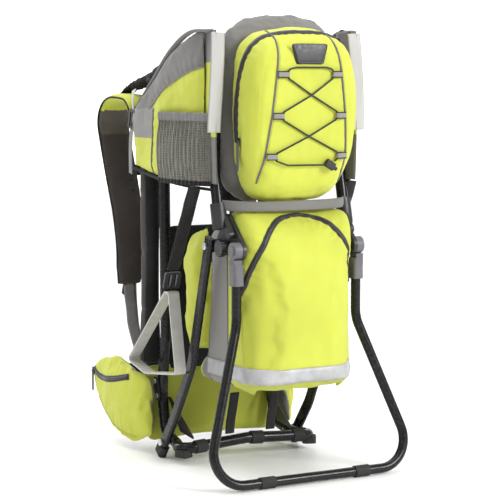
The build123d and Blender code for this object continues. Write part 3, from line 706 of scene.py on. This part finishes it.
def from_cad(name, node, looks, voxel, pressure, cap, rounds, shrink=0.0, calming=14):
    """A soft piece from its CAD solid's outer walls: remeshed, rounded and inflated."""
    bm = without_inner_walls(nodes[node].data)
    mesh = bpy.data.meshes.new(name)
    bm.to_mesh(mesh)
    bm.free()
    obj = placed(name, mesh)
    dressed(mesh, looks)
    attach(obj, "frame")
    modify(obj, "REMESH", mode="VOXEL", voxel_size=voxel * MM)
    modify(obj, "SMOOTH", factor=0.5, iterations=rounds)
    bake(obj)
    inflate(obj, voxel, pressure, cap, shrink=shrink, calming=calming)
    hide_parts(node)
    return obj


def seams(name, skin, routes, toward, look, radius, stitches, offset=3.0):
    """Pipings along left-hand routes and their mirror images, each with a row of stitches."""
    parts, rows = [], []
    for left in routes:
        for route, aim in ((left, toward), (mirrored(left), mirrored(toward))):
            parts.append(corded(skin, route, aim, radius))
            rows.append(stitched(skin, route, toward, offset=offset))
    return [make(name, *joined(parts), look), make(name + "_stitches", *joined(rows), stitches)]


def aimed(centre):
    """Direction from each point towards a centre."""
    return lambda p: np.array(centre, float) - p


def zip_on(name, skin, route, toward, width):
    """Zip: woven tape, a raised coil and two rows of stitches."""
    tape = laid(skin, route, toward(path(route)), width, 0.9)
    p = path(route, 3.0)
    spot, normal = bedded(skin, p, toward(p))
    beat = 1.0 + 0.25 * np.sin(np.arange(len(p)) * math.pi)
    side = np.cross(normal, tangents(spot))
    coil = swept(spot + normal * 1.3, strap_section(5.0, 2.4, 1.0, 7), side, widths=beat)
    aim = toward(path(route, STITCH_PITCH))
    rows = [stitched(skin, route, aim, 0.4, k * (width / 2 - 1.6)) for k in (-1, 1)]
    tape_obj = make(name + "_tape", *tape, zip_tape)
    coil_obj = make(name + "_coil", *coil, plastic)
    rows_obj = make(name + "_stitches", *joined(rows), thread_grey)


def webbing_piece(name, runs, width, look, side, node=None, thick=1.8, both=True, step=4, crown=0.0):
    """Flat webbing along left-hand runs, mirrored unless it is on the centre line."""
    parts = []
    for run in runs:
        part = swept(path(run, step), strap_section(width, thick, crown), side)
        parts += [part, flipped(part)] if both else [part]
    obj = make(name, *joined(parts), look)
    if node:
        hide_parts(node)


# ---- upper pocket ----
upper_half = [(-36, 449), (-76, 460), (-97, 500), (-103.5, 560), (-104, 650), (-96, 700), (-73, 726),
              (-34, 734)]
rear = between([(440, -198), (460, -208), (480, -217), (529, -232.5), (560, -237.5), (594, -241.5),
                (640, -243), (690, -242.5), (720, -238), (740, -230)])
upper = make("upper_pocket_bag", *dome(mirrored_outline(upper_half), -161, lambda x, z: rear(z), 8), lime)
inflate(upper, 5, 3.5, 3.5, held=lambda p: 1.0 if p.y < rear(p.z) + 4 and abs(p.x) < 84 else 0.0)
pipe_left = [(x, -255, z)
             for x, z in ((-49, 729), (-56, 690), (-64, 628), (-71, 565), (-76, 512), (-77, 486))]
zip_upper = [(-104, -181, 548), (-104.5, -183, 604), (-102, -189, 648), (-95, -197, 683), (-82, -202, 707),
             (-63, -205, 723), (-42, -206, 731), (0, -207, 734), (42, -206, 731), (63, -205, 723),
             (82, -202, 707), (95, -197, 683), (102, -189, 648), (104.5, -183, 604), (104, -181, 560)]
puckered(upper, both_sides(pipe_left) + [zip_upper], 1.0, 7, 15, 0.6, 1)
wobble(upper, 2.6, 60, 3.0, stretch=(1, 1, 0.6), where=lambda p: 1.0 if p.y > rear(p.z) + 8 else 0.35)
wobble(upper, 0.9, 17, 4.0, stretch=(1.2, 1, 0.5))
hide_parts("upper_pocket")
upper_skin = Skin(upper)
for obj in seams("upper_piping", upper_skin, [pipe_left], (0, 1, 0), piping_cloth, 1.7,
                 stitches=thread_lime, offset=3.4):
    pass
zip_on("upper_zip", upper_skin, zip_upper, aimed((0, -170, 610)), 13)

badge_half = [(-14, 709), (-30, 708.5), (-33, 705), (-29.5, 692), (-26, 679), (-23, 676), (-10, 676)]
badge_outline = mirrored_outline(badge_half)
badge_dome = dome(badge_outline, rear(700) - 0.3, lambda x, z: rear(z) - 2.4, 14, 8, 90)
badge = make("badge_plate", *badge_dome, plastic)
BADGE_Z, RIM_INSET = 692, 0.14
badge_rim = path([(x * (1 - RIM_INSET), rear(z) - 2.6, z + (BADGE_Z - z) * RIM_INSET)
                  for x, z in badge_outline], 2.0, True)
rim = make("badge_rim", *swept(badge_rim, round_section(0.6, 6), (0, 1, 0), True), socket_grey)

# Lacing tabs folded round the bungee cord.
TAB_LOOP = ((1, 0), (-8, -0.6), (-14, -0.9), (-17.5, -2.4), (-14, -4.4), (-8, -3.6), (1, -1.8))
tabs, tab_edges = [], []
for x, z in ((58, 660), (66, 594), (73, 529)):
    y = rear(z) - 1.0
    for side in (-1, 1):
        p = path([(side * (x + along), y + out, z) for along, out in TAB_LOOP], 1.5)
        tabs.append(swept(p, strap_section(9, 1.1), (0, 0, 1)))
        for k in (-1, 1):
            tab_edges.append(swept(p + np.array([0, 0, k * 4.5]), round_section(0.9, 6), (0, 0, 1)))
tabs_obj = make("lace_tab_loops", *joined(tabs), pale_grey)
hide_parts("lace_tabs")
make("lace_tab_edges", *joined(tab_edges), black_cloth)

# ---- lower bag ----
bag = from_cad("lower_bag_body", "lower_bag", [lime, pale_grey, lime_low], 5, 4, 5, rounds=26, shrink=0.5)
arch_left = [(-100.5, -193, 305), (-99.5, -202, 318), (-95.5, -211, 340), (-88, -220, 362), (-77, -228, 386),
             (-63, -222, 408), (-46, -213, 422), (-25, -208, 429)]
zip_lower = arch_left + [(0, -207, 431)] + [(-x, y, z) for x, y, z in arch_left[:0:-1]]
strip_route = whole([(-101, -84, 176), (-101, -150, 176), (-100, -200, 175), (-92, -230, 174),
                     (-72, -243, 173), (0, -246, 173)])
side_seam = [(-102, -153, 132), (-102, -153, 200), (-102, -152, 300), (-102, -150, 400), (-98, -150, 434)]
front_seam = [(-102, -84, 140), (-102, -82, 200), (-102, -82, 300), (-102, -84, 380)]
BAG_HALF_WIDE = 101
STAND_ROOM_X = 100.8  # the stand folds past the bag outside this
STRIP_WIDE = 26
FOOT_TOP_Z, FOOT_DEEP, FOOT_LIFT, FOOT_NARROWING = 172, 50, 24, 0.10  # the bag's rounded foot
co, _ = read_points(bag.data)
low = np.clip((FOOT_TOP_Z - co[:, 2]) / FOOT_DEEP, 0, 1)
co[:, 2] += FOOT_LIFT * low * (np.abs(co[:, 0]) / BAG_HALF_WIDE) ** 4
co[:, 0] *= 1 - FOOT_NARROWING * low**2
write_points(bag.data, co)
puckered(bag, [zip_lower] + both_sides(side_seam), 1.4, 8, 17, 1.0, 2)
wobble(bag, 4.0, 70, 7.0, stretch=(1, 1, 0.6))
wobble(bag, 1.8, 26, 9.0, stretch=(1.2, 1, 0.5))
co, _ = read_points(bag.data)
co[:, 0] = np.clip(co[:, 0], -STAND_ROOM_X, STAND_ROOM_X)
write_points(bag.data, co)
paint_faces(bag, lambda c, n: 1 if abs(c.x) > 86 and -153 < c.y < -60 and c.z < 436
            else (2 if c.z < 160 else 0))
bag_skin = Skin(bag)


CORNER_X, CORNER_Y = 53, -188  # axis of the bag's rear corners


def rearward(p):
    """Square to the bag in plan: straight in from behind, radial round its corners."""
    core = np.clip(p[:, 0], -CORNER_X, CORNER_X)
    return np.stack([core - p[:, 0], np.maximum(CORNER_Y - p[:, 1], 0.01), np.zeros(len(p))], 1)


def level(p):
    """Level with the floor, in towards the middle of the bag."""
    return np.stack([-p[:, 0], np.where(p[:, 1] < -150, -150 - p[:, 1], 0) * 0.9, 0 * p[:, 2]], 1)


zip_on("lower_zip", bag_skin, zip_lower, rearward, 10)
strip = laid(bag_skin, strip_route, level(path(strip_route)), STRIP_WIDE, 0.8, 1.4)
strip_obj = make("reflective_strip", *strip, silver)
hems = []
for k in (-1, 1):
    hem_route = [(x, y, z + k * (STRIP_WIDE / 2 - 1.5)) for x, y, z in strip_route]
    hems.append(stitched(bag_skin, hem_route, level(path(hem_route, STITCH_PITCH)), 0.45))
make("reflective_stitches", *joined(hems), thread_grey)
for obj in seams("bag_side_piping", bag_skin, [side_seam, front_seam], (1, 0, 0), piping_cloth, 1.1,
                 stitches=thread_lime, offset=-3.4):
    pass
band_route = whole([(-116, -158, 449), (-96, -184, 448), (-60, -197, 447), (0, -201, 447)])
webbing_piece("middle_band", [band_route], 17, grey, (0, 0, 1), thick=3.0, both=False,
              crown=1.0)

# ---- seat bucket, seat pad, inner back ----
bucket = from_cad("seat_bucket_cloth", "seat_bucket", [lime, black_cloth], 5, 4, 8, rounds=10)
wobble(bucket, 5.0, 55, 21.0, stretch=(1, 1, 0.7))
wobble(bucket, 2.0, 18, 22.0)
paint_faces(bucket, lambda c, n: int((c.z > 345 and abs(c.x) < 93) or c.y > 16))
seat = from_cad("seat_cushion", "seat_pad", taupe, 4, 4, 3, rounds=5)
wobble(seat, 1.2, 30, 2.0)
inner = from_cad("inner_back_pad", "inner_back", black_pad, 4, 4, 3, rounds=4)
quilting = [[(-88, -98, z), (0, -98, z - 6), (88, -98, z)] for z in (500, 560, 620, 670)]
puckered(inner, quilting, 0.8, 6, 14, 2.0)


# ---- side panels: lime body, grey wing, bands, mesh pocket ----
def arc_x(plan):
    """|X| of a plan arc as a function of Y, from three (x, y) points."""
    (x1, y1), (x2, y2), (x3, y3) = plan
    m = np.array([[2 * (x2 - x1), 2 * (y2 - y1)], [2 * (x3 - x1), 2 * (y3 - y1)]])
    v = np.array([x2**2 - x1**2 + y2**2 - y1**2, x3**2 - x1**2 + y3**2 - y1**2])
    cx, cy = np.linalg.solve(m, v)
    r = math.hypot(x1 - cx, y1 - cy)
    return lambda y: cx - math.sqrt(max(r * r - (y - cy) ** 2, 0))


panel_x = arc_x([(-127.5, -158), (-149, -40), (-150, 100)])
wing_low = between([(-158, 678), (-106, 667), (-51, 647), (-20, 632), (5, 617), (30, 604), (104, 598)])
panels = from_cad("side_panel_pads", "side_panels", [lime, grey, pale_grey, black_cloth], 4, 3, 3.0, rounds=5)
edge_line = [(-138, -157, 730), (-146, -100, 728), (-150, -40, 700), (-151, 20, 655), (-150, 66, 622),
             (-149, 98, 600)]
wing_seam = [(panel_x(y) - 2, y, wing_low(y)) for y in (-156, -106, -60, -30, -8, 12, 30)]
front_binding = [(-151, 13, 602), (-151, 14, 560), (-151, 15, 520), (-151, 15, 494)]
puckered(panels, both_sides(wing_seam) + both_sides(front_binding), 0.8, 7, 14, 0.8, 5)
wobble(panels, 3.4, 48, 31.0, stretch=(1, 1, 0.7))
wobble(panels, 1.2, 15, 32.0)


def outward(c, n):
    """How far a face turns away from the centre plane."""
    return n.x if c.x > 0 else -n.x


def panel_look(c, n):
    """Black inside; outside a grey wing, a pale patch in front and lime below."""
    if outward(c, n) <= -0.2:
        return 3
    if c.z > wing_low(c.y):
        return 1
    return 2 if c.y > 14 and c.z > 552 else 0


paint_faces(panels, panel_look)
panel_skin = Skin(panels)
for obj in seams("wing_piping", panel_skin, [wing_seam, front_binding], (1, 0, 0), grey, 1.6,
                 stitches=thread_grey):
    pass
rim_parts = []
for route in both_sides(edge_line):
    p = path(route, 4)
    p[:, 0] *= 0.965
    rim_parts.append(swept(p, strap_section(13, 5.5, 1.0), (1, 0, 0)))
make("wing_rim", *joined(rim_parts), grey)
bottom_route = [(-130, -150, 474), (-142, -90, 477), (-149, -30, 482), (-151, 30, 489), (-150, 96, 498)]
base_parts = [swept(path(route), strap_section(12, 4.5, 1.0), (1, 0, 0)) for route in both_sides(bottom_route)]
make("panel_bottom_binding", *joined(base_parts), black_cloth)

mesh_x = arc_x([(-127.5, -156), (-149, -60), (-150.6, -4)])
POCKET_REAR_Y, POCKET_FRONT_Y, POCKET_LOW_Z, POCKET_HIGH_Z = -152, -5, 484, 590
ys = np.arange(POCKET_REAR_Y, POCKET_FRONT_Y + 0.1, 1.4)
zs = np.linspace(POCKET_LOW_Z, POCKET_HIGH_Z, 26)


def pleat(y, t):
    """Gathers of the pocket: deep at the elastic, lighter at the hem."""
    beat = math.sin(2 * math.pi * y / 10.5 + 1.6 * noise.noise(Vector((y / 17, t * 1.5, 8))))
    return beat * (0.7 + 1.1 * abs(t - 0.3))


outer = []
for z in zs:
    t = (z - POCKET_LOW_Z) / (POCKET_HIGH_Z - POCKET_LOW_Z)
    row = []
    for y in ys:
        ends = min(1.0, (y - POCKET_REAR_Y) / 14 + 0.1, (POCKET_FRONT_Y - y) / 14 + 0.1)
        belly = (6.0 + 4.5 * math.sin(math.pi * min(1, t * 1.1))) * ends
        row.append((mesh_x(y) - 1.6 - belly - pleat(y, t) * ends, y, z))
    outer.append(np.array(row))
pocket = rings_to_mesh([np.vstack([row, (row + [1.0, 0, 0])[::-1]]) for row in outer])
pocket_obj = make("mesh_pocket_cloth", *paired(pocket), olive)
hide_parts("mesh_pockets")
gathered = swept(outer[-1] + [-0.3, 0, 1.0], strap_section(14, 2.4), (0, 0, 1))
make("mesh_pocket_elastic", *paired(gathered), mid_web)
hem = swept(outer[0] + [-0.4, 0, -0.5], strap_section(8, 2.4, 1.0), (0, 0, 1))
make("mesh_pocket_hem", *paired(hem), black_cloth)

# ---- canopy bands, straps and small buckled tapes ----
canopy_route = [(-128, -170, 727), (-130, -173, 690), (-133, -174, 640), (-135, -173, 600), (-136, -171, 567)]
webbing_piece("canopy_band_tapes", [canopy_route], 25, canopy_cloth, (1, 0, 0), "canopy_bands")
tail_route = [(-153, 96, 573), (-155, 99, 555), (-154, 104, 530), (-153, 106, 505), (-152, 108, 488)]
thin_route = [(-153, 94, 596), (-152, 98, 612), (-146, 108, 626), (-138, 122, 632)]
tape_route = [(-151.5, 20, 590), (-153, 50, 588), (-153.5, 80, 585), (-153.5, 96, 582)]
webbing_piece("side_strap_tails", [tail_route], 18, mid_web, (0.1, 1, 0), thick=1.6)
webbing_piece("side_strap_thin", [thin_route], 9, pale_web, (0.1, 1, 0), thick=1.4, step=3)
webbing_piece("side_strap_tapes", [tape_route], 22, pale_web, (0, 0, 1))

# Gusset closing the gap between the rear edge of each side panel and its canopy band.
gusset = swept(path([(-128, -146, 484), (-130, -146, 560), (-130, -145, 650), (-129, -144, 731)], 4),
               strap_section(56, 1.6), (0.1, 1, 0))
gusset_obj = make("panel_rear_gussets", *paired(gusset), [lime, grey])
paint_faces(gusset_obj, lambda c, n: int(c.z > wing_low(-156) or c.z < 560))

# ---- front pad and load lifters ----
front_pad = from_cad("front_pad_cloth", "front_pad", black_cloth, 4, 4, 4, rounds=5)
puckered(front_pad, [[(-112, y, 646), (0, y, 648), (112, y, 646)] for y in (60, 84, 110)], 2.6, 8, 11, 0.8, 3)
wobble(front_pad, 2.2, 16, 12.0)
collar_route = whole([(-112, 92, 648), (-110, 60, 662), (-86, 54, 668), (0, 52, 670)])
collar_roll = swept(path(collar_route, 2.5), round_section(13, 28), (0, 0, 1))
collar = make("front_pad_collar", *collar_roll, black_cloth)
wobble(collar, 7, 13, 17.0, stretch=(1.6, 1, 0.6))
wobble(collar, 2.2, 6, 18.0)
lifters = from_cad("load_lifter_pads", "load_lifters", black_cloth, 3, 4, 3, rounds=1, calming=4)
lifter_line = [(-112, 62, 668), (-112, 112, 656), (-112, 186, 640)]
puckered(lifters, both_sides(lifter_line), 3.2, 12, 9, 0.4, 3)
wobble(lifters, 2.4, 14, 14.0)

# Tabs sewing the end of each load lifter down to its shoulder strap.
tab_route = [(-112, 172, 637), (-113, 186, 634), (-114, 194, 628), (-115, 204, 624)]
webbing_piece("load_lifter_tabs", [tab_route], 28, black_web, (1, 0, 0), thick=2.6, step=3,
              crown=1.0)

# ---- back pads and lumbar pad ----
columns = from_cad("back_pad_columns", "back_pads", [taupe, black_cloth], 4, 4, 4, rounds=5)
channels = [[(s * 136, 104, z), (s * 118, 120, z - 2), (s * 100, 104, z)]
            for s in (-1, 1) for z in (250, 350, 450, 540)]
puckered(columns, channels, 0.6, 6, 12, 1.6, 4)
wobble(columns, 2.0, 60, 3.0, stretch=(1, 1, 0.5))
paint_faces(columns, lambda c, n: int(n.y < -0.5))
lumbar = from_cad("lumbar_pad_body", "lumbar_pad", [lime_low, taupe], 5, 4, 5, rounds=8)
lumbar_seams = [[(-120, 122, z), (0, 124, z - 4), (120, 122, z)] for z in (60, 108)]
puckered(lumbar, lumbar_seams, 1.0, 8, 15, 2.0, 6)
wobble(lumbar, 2.4, 40, 8.0)
paint_faces(lumbar, lambda c, n: int(n.y > 0.4))

# ---- hip belt ----
wings = from_cad("hip_wing_pads", "hip_wings", [lime, pale_grey], 5, 4, 6, rounds=6, shrink=0.5)
hip_seam = [(-170, 62, 132), (-172, 110, 140), (-172, 170, 150), (-170, 222, 140), (-168, 252, 126)]
hip_low = [(-170, 90, 28), (-172, 130, 30), (-172, 180, 42), (-170, 225, 80)]
hip_zip = [(-170, 249, 128), (-171, 234, 120), (-172, 205, 116), (-172, 150, 122), (-171, 104, 132)]
puckered(wings, both_sides(hip_seam) + both_sides(hip_low), 1.4, 9, 17, 1.2, 9)
wobble(wings, 4.0, 70, 41.0)
wobble(wings, 1.4, 18, 42.0)
hip_x = arc_x([(-143, 48), (-163, 150), (-160, 262)])
co, _ = read_points(wings.data)
PULL_Y, PULL_Z, PULL_REACH, PULL_FADE = 249, 108, 46, 34  # where a zip pull swings near the wing
for i, (x, y, z) in enumerate(co):
    away = math.hypot(y - PULL_Y, z - PULL_Z)
    room = 8 * min(1, max(0, (away - PULL_REACH) / PULL_FADE))
    limit = -hip_x(y) - 0.4 + room
    co[i, 0] = math.copysign(min(abs(x), limit), x)
write_points(wings.data, co)
paint_faces(wings, lambda c, n: int(outward(c, n) < -0.25))
wing_skin = Skin(wings)
for obj in seams("hip_seams", wing_skin, [hip_low], (1, 0, 0), lime_low, 1.2, stitches=thread_lime):
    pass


def across(p):
    """Square to the carrier's sides."""
    return np.stack([-np.sign(p[:, 0]), 0 * p[:, 1], 0 * p[:, 2]], 1)


zip_on("hip_zip_left_side", wing_skin, hip_zip, across, 11)
zip_on("hip_zip_right_side", wing_skin, mirrored(hip_zip), across, 11)

# ---- shoulder straps ----
SHOULDER_X, STRAP_WIDE = 118, 60
strap_line = [(126, 588), (132, 604), (148, 615), (176, 618), (207, 617.5),
              (233, 608), (250, 590), (254, 569), (247, 545), (228, 497),
              (208, 448), (196, 415), (187, 375), (184, 345), (186, 312), (190, 286)]
p = path([(-SHOULDER_X, y, z) for y, z in strap_line], 4)
taper = np.interp(np.linspace(0, 1, len(p)), [0, 0.15, 0.6, 0.93, 1], [0.92, 1, 1, 0.86, 0.7])
strap = swept(p, strap_section(STRAP_WIDE, 15, 1.0, 17), (1, 0, 0), widths=taper)
straps_obj = make("shoulder_strap_pads", *paired(strap), [taupe, lime, taupe_light])
fold_line = [[(s * 148, 238, 600), (s * SHOULDER_X, 240, 604), (s * 88, 238, 600)] for s in (-1, 1)]
puckered(straps_obj, fold_line, 2.0, 8, 8, 1.5, 2)
wobble(straps_obj, 2.6, 42, 51.0)
wobble(straps_obj, 0.8, 12, 52.0)


def strap_look(c, n):
    """Lime outside and over the top, taupe inside with a paler upper part."""
    if c.z > 594 or n.y >= -0.1:
        return 1
    return 2 if c.z > 552 and c.y > 200 else 0


paint_faces(straps_obj, strap_look)
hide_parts("shoulder_straps")
edges = []
for k in (-1, 1):
    q = p + np.outer(k * STRAP_WIDE * 0.49 * taper, [1, 0, 0])
    e = swept(q, round_section(1.8, 8), (1, 0, 0))
    edges += [e, flipped(e)]
make("shoulder_strap_piping", *joined(edges), black_cloth)
slits = []
for z, y in ((470, 211), (452, 203)):
    s = swept(path([(-134, y, z), (-118, y, z - 1), (-100, y, z)], 3), round_section(1.6, 6), (0, 1, 0))
    slits += [s, flipped(s)]
make("shoulder_strap_slits", *joined(slits), black_cloth)

lower_run = [(-118, 190, 286), (-119, 188, 266), (-120, 178, 240), (-122, 168, 214), (-122, 148, 182),
             (-120, 127, 153)]
lower_tail = [(-112, 193, 286), (-110, 196, 262), (-111, 190, 236), (-114, 176, 206), (-117, 152, 176),
              (-118, 130, 153)]
webbing_piece("lower_webbing_tapes", [lower_run, lower_tail], 20, mid_web, (1, 0, 0),
              "lower_webbing")
chest_webbing_run = [(-110, 245, 486), (-80, 246.5, 485), (-40, 246, 486), (-18, 245.4, 486)]
webbing_piece("chest_webbing_tape", [chest_webbing_run], 20, black_web, (0, 0, 1),
              "chest_webbing", 1.6)
waist_webbing_run = [(-138, 249, 112), (-100, 250.5, 111), (-50, 250, 112), (-19, 249.4, 112)]
webbing_piece("waist_webbing_tape", [waist_webbing_run], 36, black_web, (0, 0, 1),
              "waist_webbing")
harness_webbing_run = [(-52, -95.5, 690), (-40, -94.4, 636), (-24, -94.6, 566), (-12, -95, 512)]
webbing_piece("harness_webbing", [harness_webbing_run], 25, black_web, (1, 0, 0.28),
              "harness_straps")
crotch_run = [(0, -96, 448), (0, -94.6, 459), (0, -95, 471)]
webbing_piece("harness_crotch_webbing", [crotch_run], 25, black_web, (1, 0, 0), both=False)
bag_tie_run = [(-40, -64, 120), (-40, -56, 92), (-40, -48, 66), (-40, -45, 46)]
webbing_piece("bag_tie_tapes", [bag_tie_run], 18, black_web, (1, 0, 0), "bag_ties")
pads = from_cad("harness_pad_cloth", "harness_pads", black_pad, 3.5, 4, 3, rounds=3)
wobble(pads, 1.2, 24, 3.0)

# ---- stirrups ----
hanger_route = [(-149.5, -130, 478), (-150, -112, 444), (-150.5, -90, 404), (-150, -72, 372),
                (-149.5, -50, 336)]
hanger = swept(path(hanger_route, 4), strap_section(24, 6.5, 1.0, 11), (1, 0, 0))
hanger_obj = make("stirrup_hanger_pads", *paired(hanger), black_pad)
wobble(hanger_obj, 1.4, 22, 61.0)
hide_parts("stirrup_hangers")

# ---- back board cover ----
board = from_cad("back_board_cover", "back_board", black_cloth, 4, 3, 2, rounds=3)


# ---- studio: floor, light, camera ----
def plane(name, corners, look):
    """A four-cornered piece of the studio, in metres."""
    mesh = bpy.data.meshes.new(name)
    mesh.from_pydata(corners, [], [(0, 1, 2, 3)])
    dressed(mesh, look)
    placed(name, mesh)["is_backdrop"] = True


g = Graph("studio_floor", (0.96, 0.96, 0.957), 0.42)
g.rough(g.ramp(g.noise(1.5, 2), [(0.3, 0.38), (0.7, 0.48)]))
plane("floor", [(-12, -12, 0), (12, -12, 0), (12, 12, 0), (-12, 12, 0)], g.material)

g = Graph("studio_backdrop", (0.95, 0.95, 0.95), 0.9, Emission_Color=(1, 1, 1, 1))
g.rough(g.ramp(g.noise(1.0, 2), [(0.3, 0.85), (0.7, 0.95)]))
across_wall = g.add("ShaderNodeSeparateXYZ")
g.link(g.where, across_wall.inputs[0])
offset = g.math("ABSOLUTE", g.math("SUBTRACT", across_wall.outputs["X"], 3.0))
glow = g.ramp(g.math("MULTIPLY", offset, 1 / 13), [(0.25, 0.9), (0.7, 0.42)])
g.link(glow, g.shader.inputs["Emission Strength"])
plane("backdrop", [(-12, 9, -1), (16, 4, -1), (16, 4, 12), (-12, 9, 12)], g.material)

world = bpy.data.worlds.new("studio")
world.use_nodes = True
scene.world = world
world.node_tree.nodes["Background"].inputs["Color"].default_value = (1, 1, 1, 1)
world.node_tree.nodes["Background"].inputs["Strength"].default_value = 0.42
for name, spot, size, power, aim in (
    ("key", (1.7, -3.3, 2.0), 1.3, 125, (0, 0, 0.4)),
    ("fill", (-3.2, -1.2, 1.6), 2.0, 12, (0, 0, 0.35)),
    ("top", (-0.3, 0.2, 3.0), 2.6, 62, (0, 0, 0.3)),
    ("rim", (-1.6, 2.6, 1.8), 1.6, 28, (0, 0, 0.4)),
):
    light = bpy.data.lights.new(name, "AREA")
    light.size, light.energy = size, power
    lamp = placed(name, light)
    lamp.location = spot
    lamp.rotation_euler = (Vector(aim) - Vector(spot)).to_track_quat("-Z", "Y").to_euler()

camera_data = bpy.data.cameras.new("camera")
camera_data.lens, camera_data.sensor_width = 129.6, 36
camera = placed("camera", camera_data)
camera.location = (-1.4846, -2.7233, 0.6715)
aim = Vector((0, -0.045, 0.3604))
camera.rotation_euler = (aim - camera.location).to_track_quat("-Z", "Y").to_euler()
scene.camera = camera
scene.view_settings.view_transform = "Standard"

low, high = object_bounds()
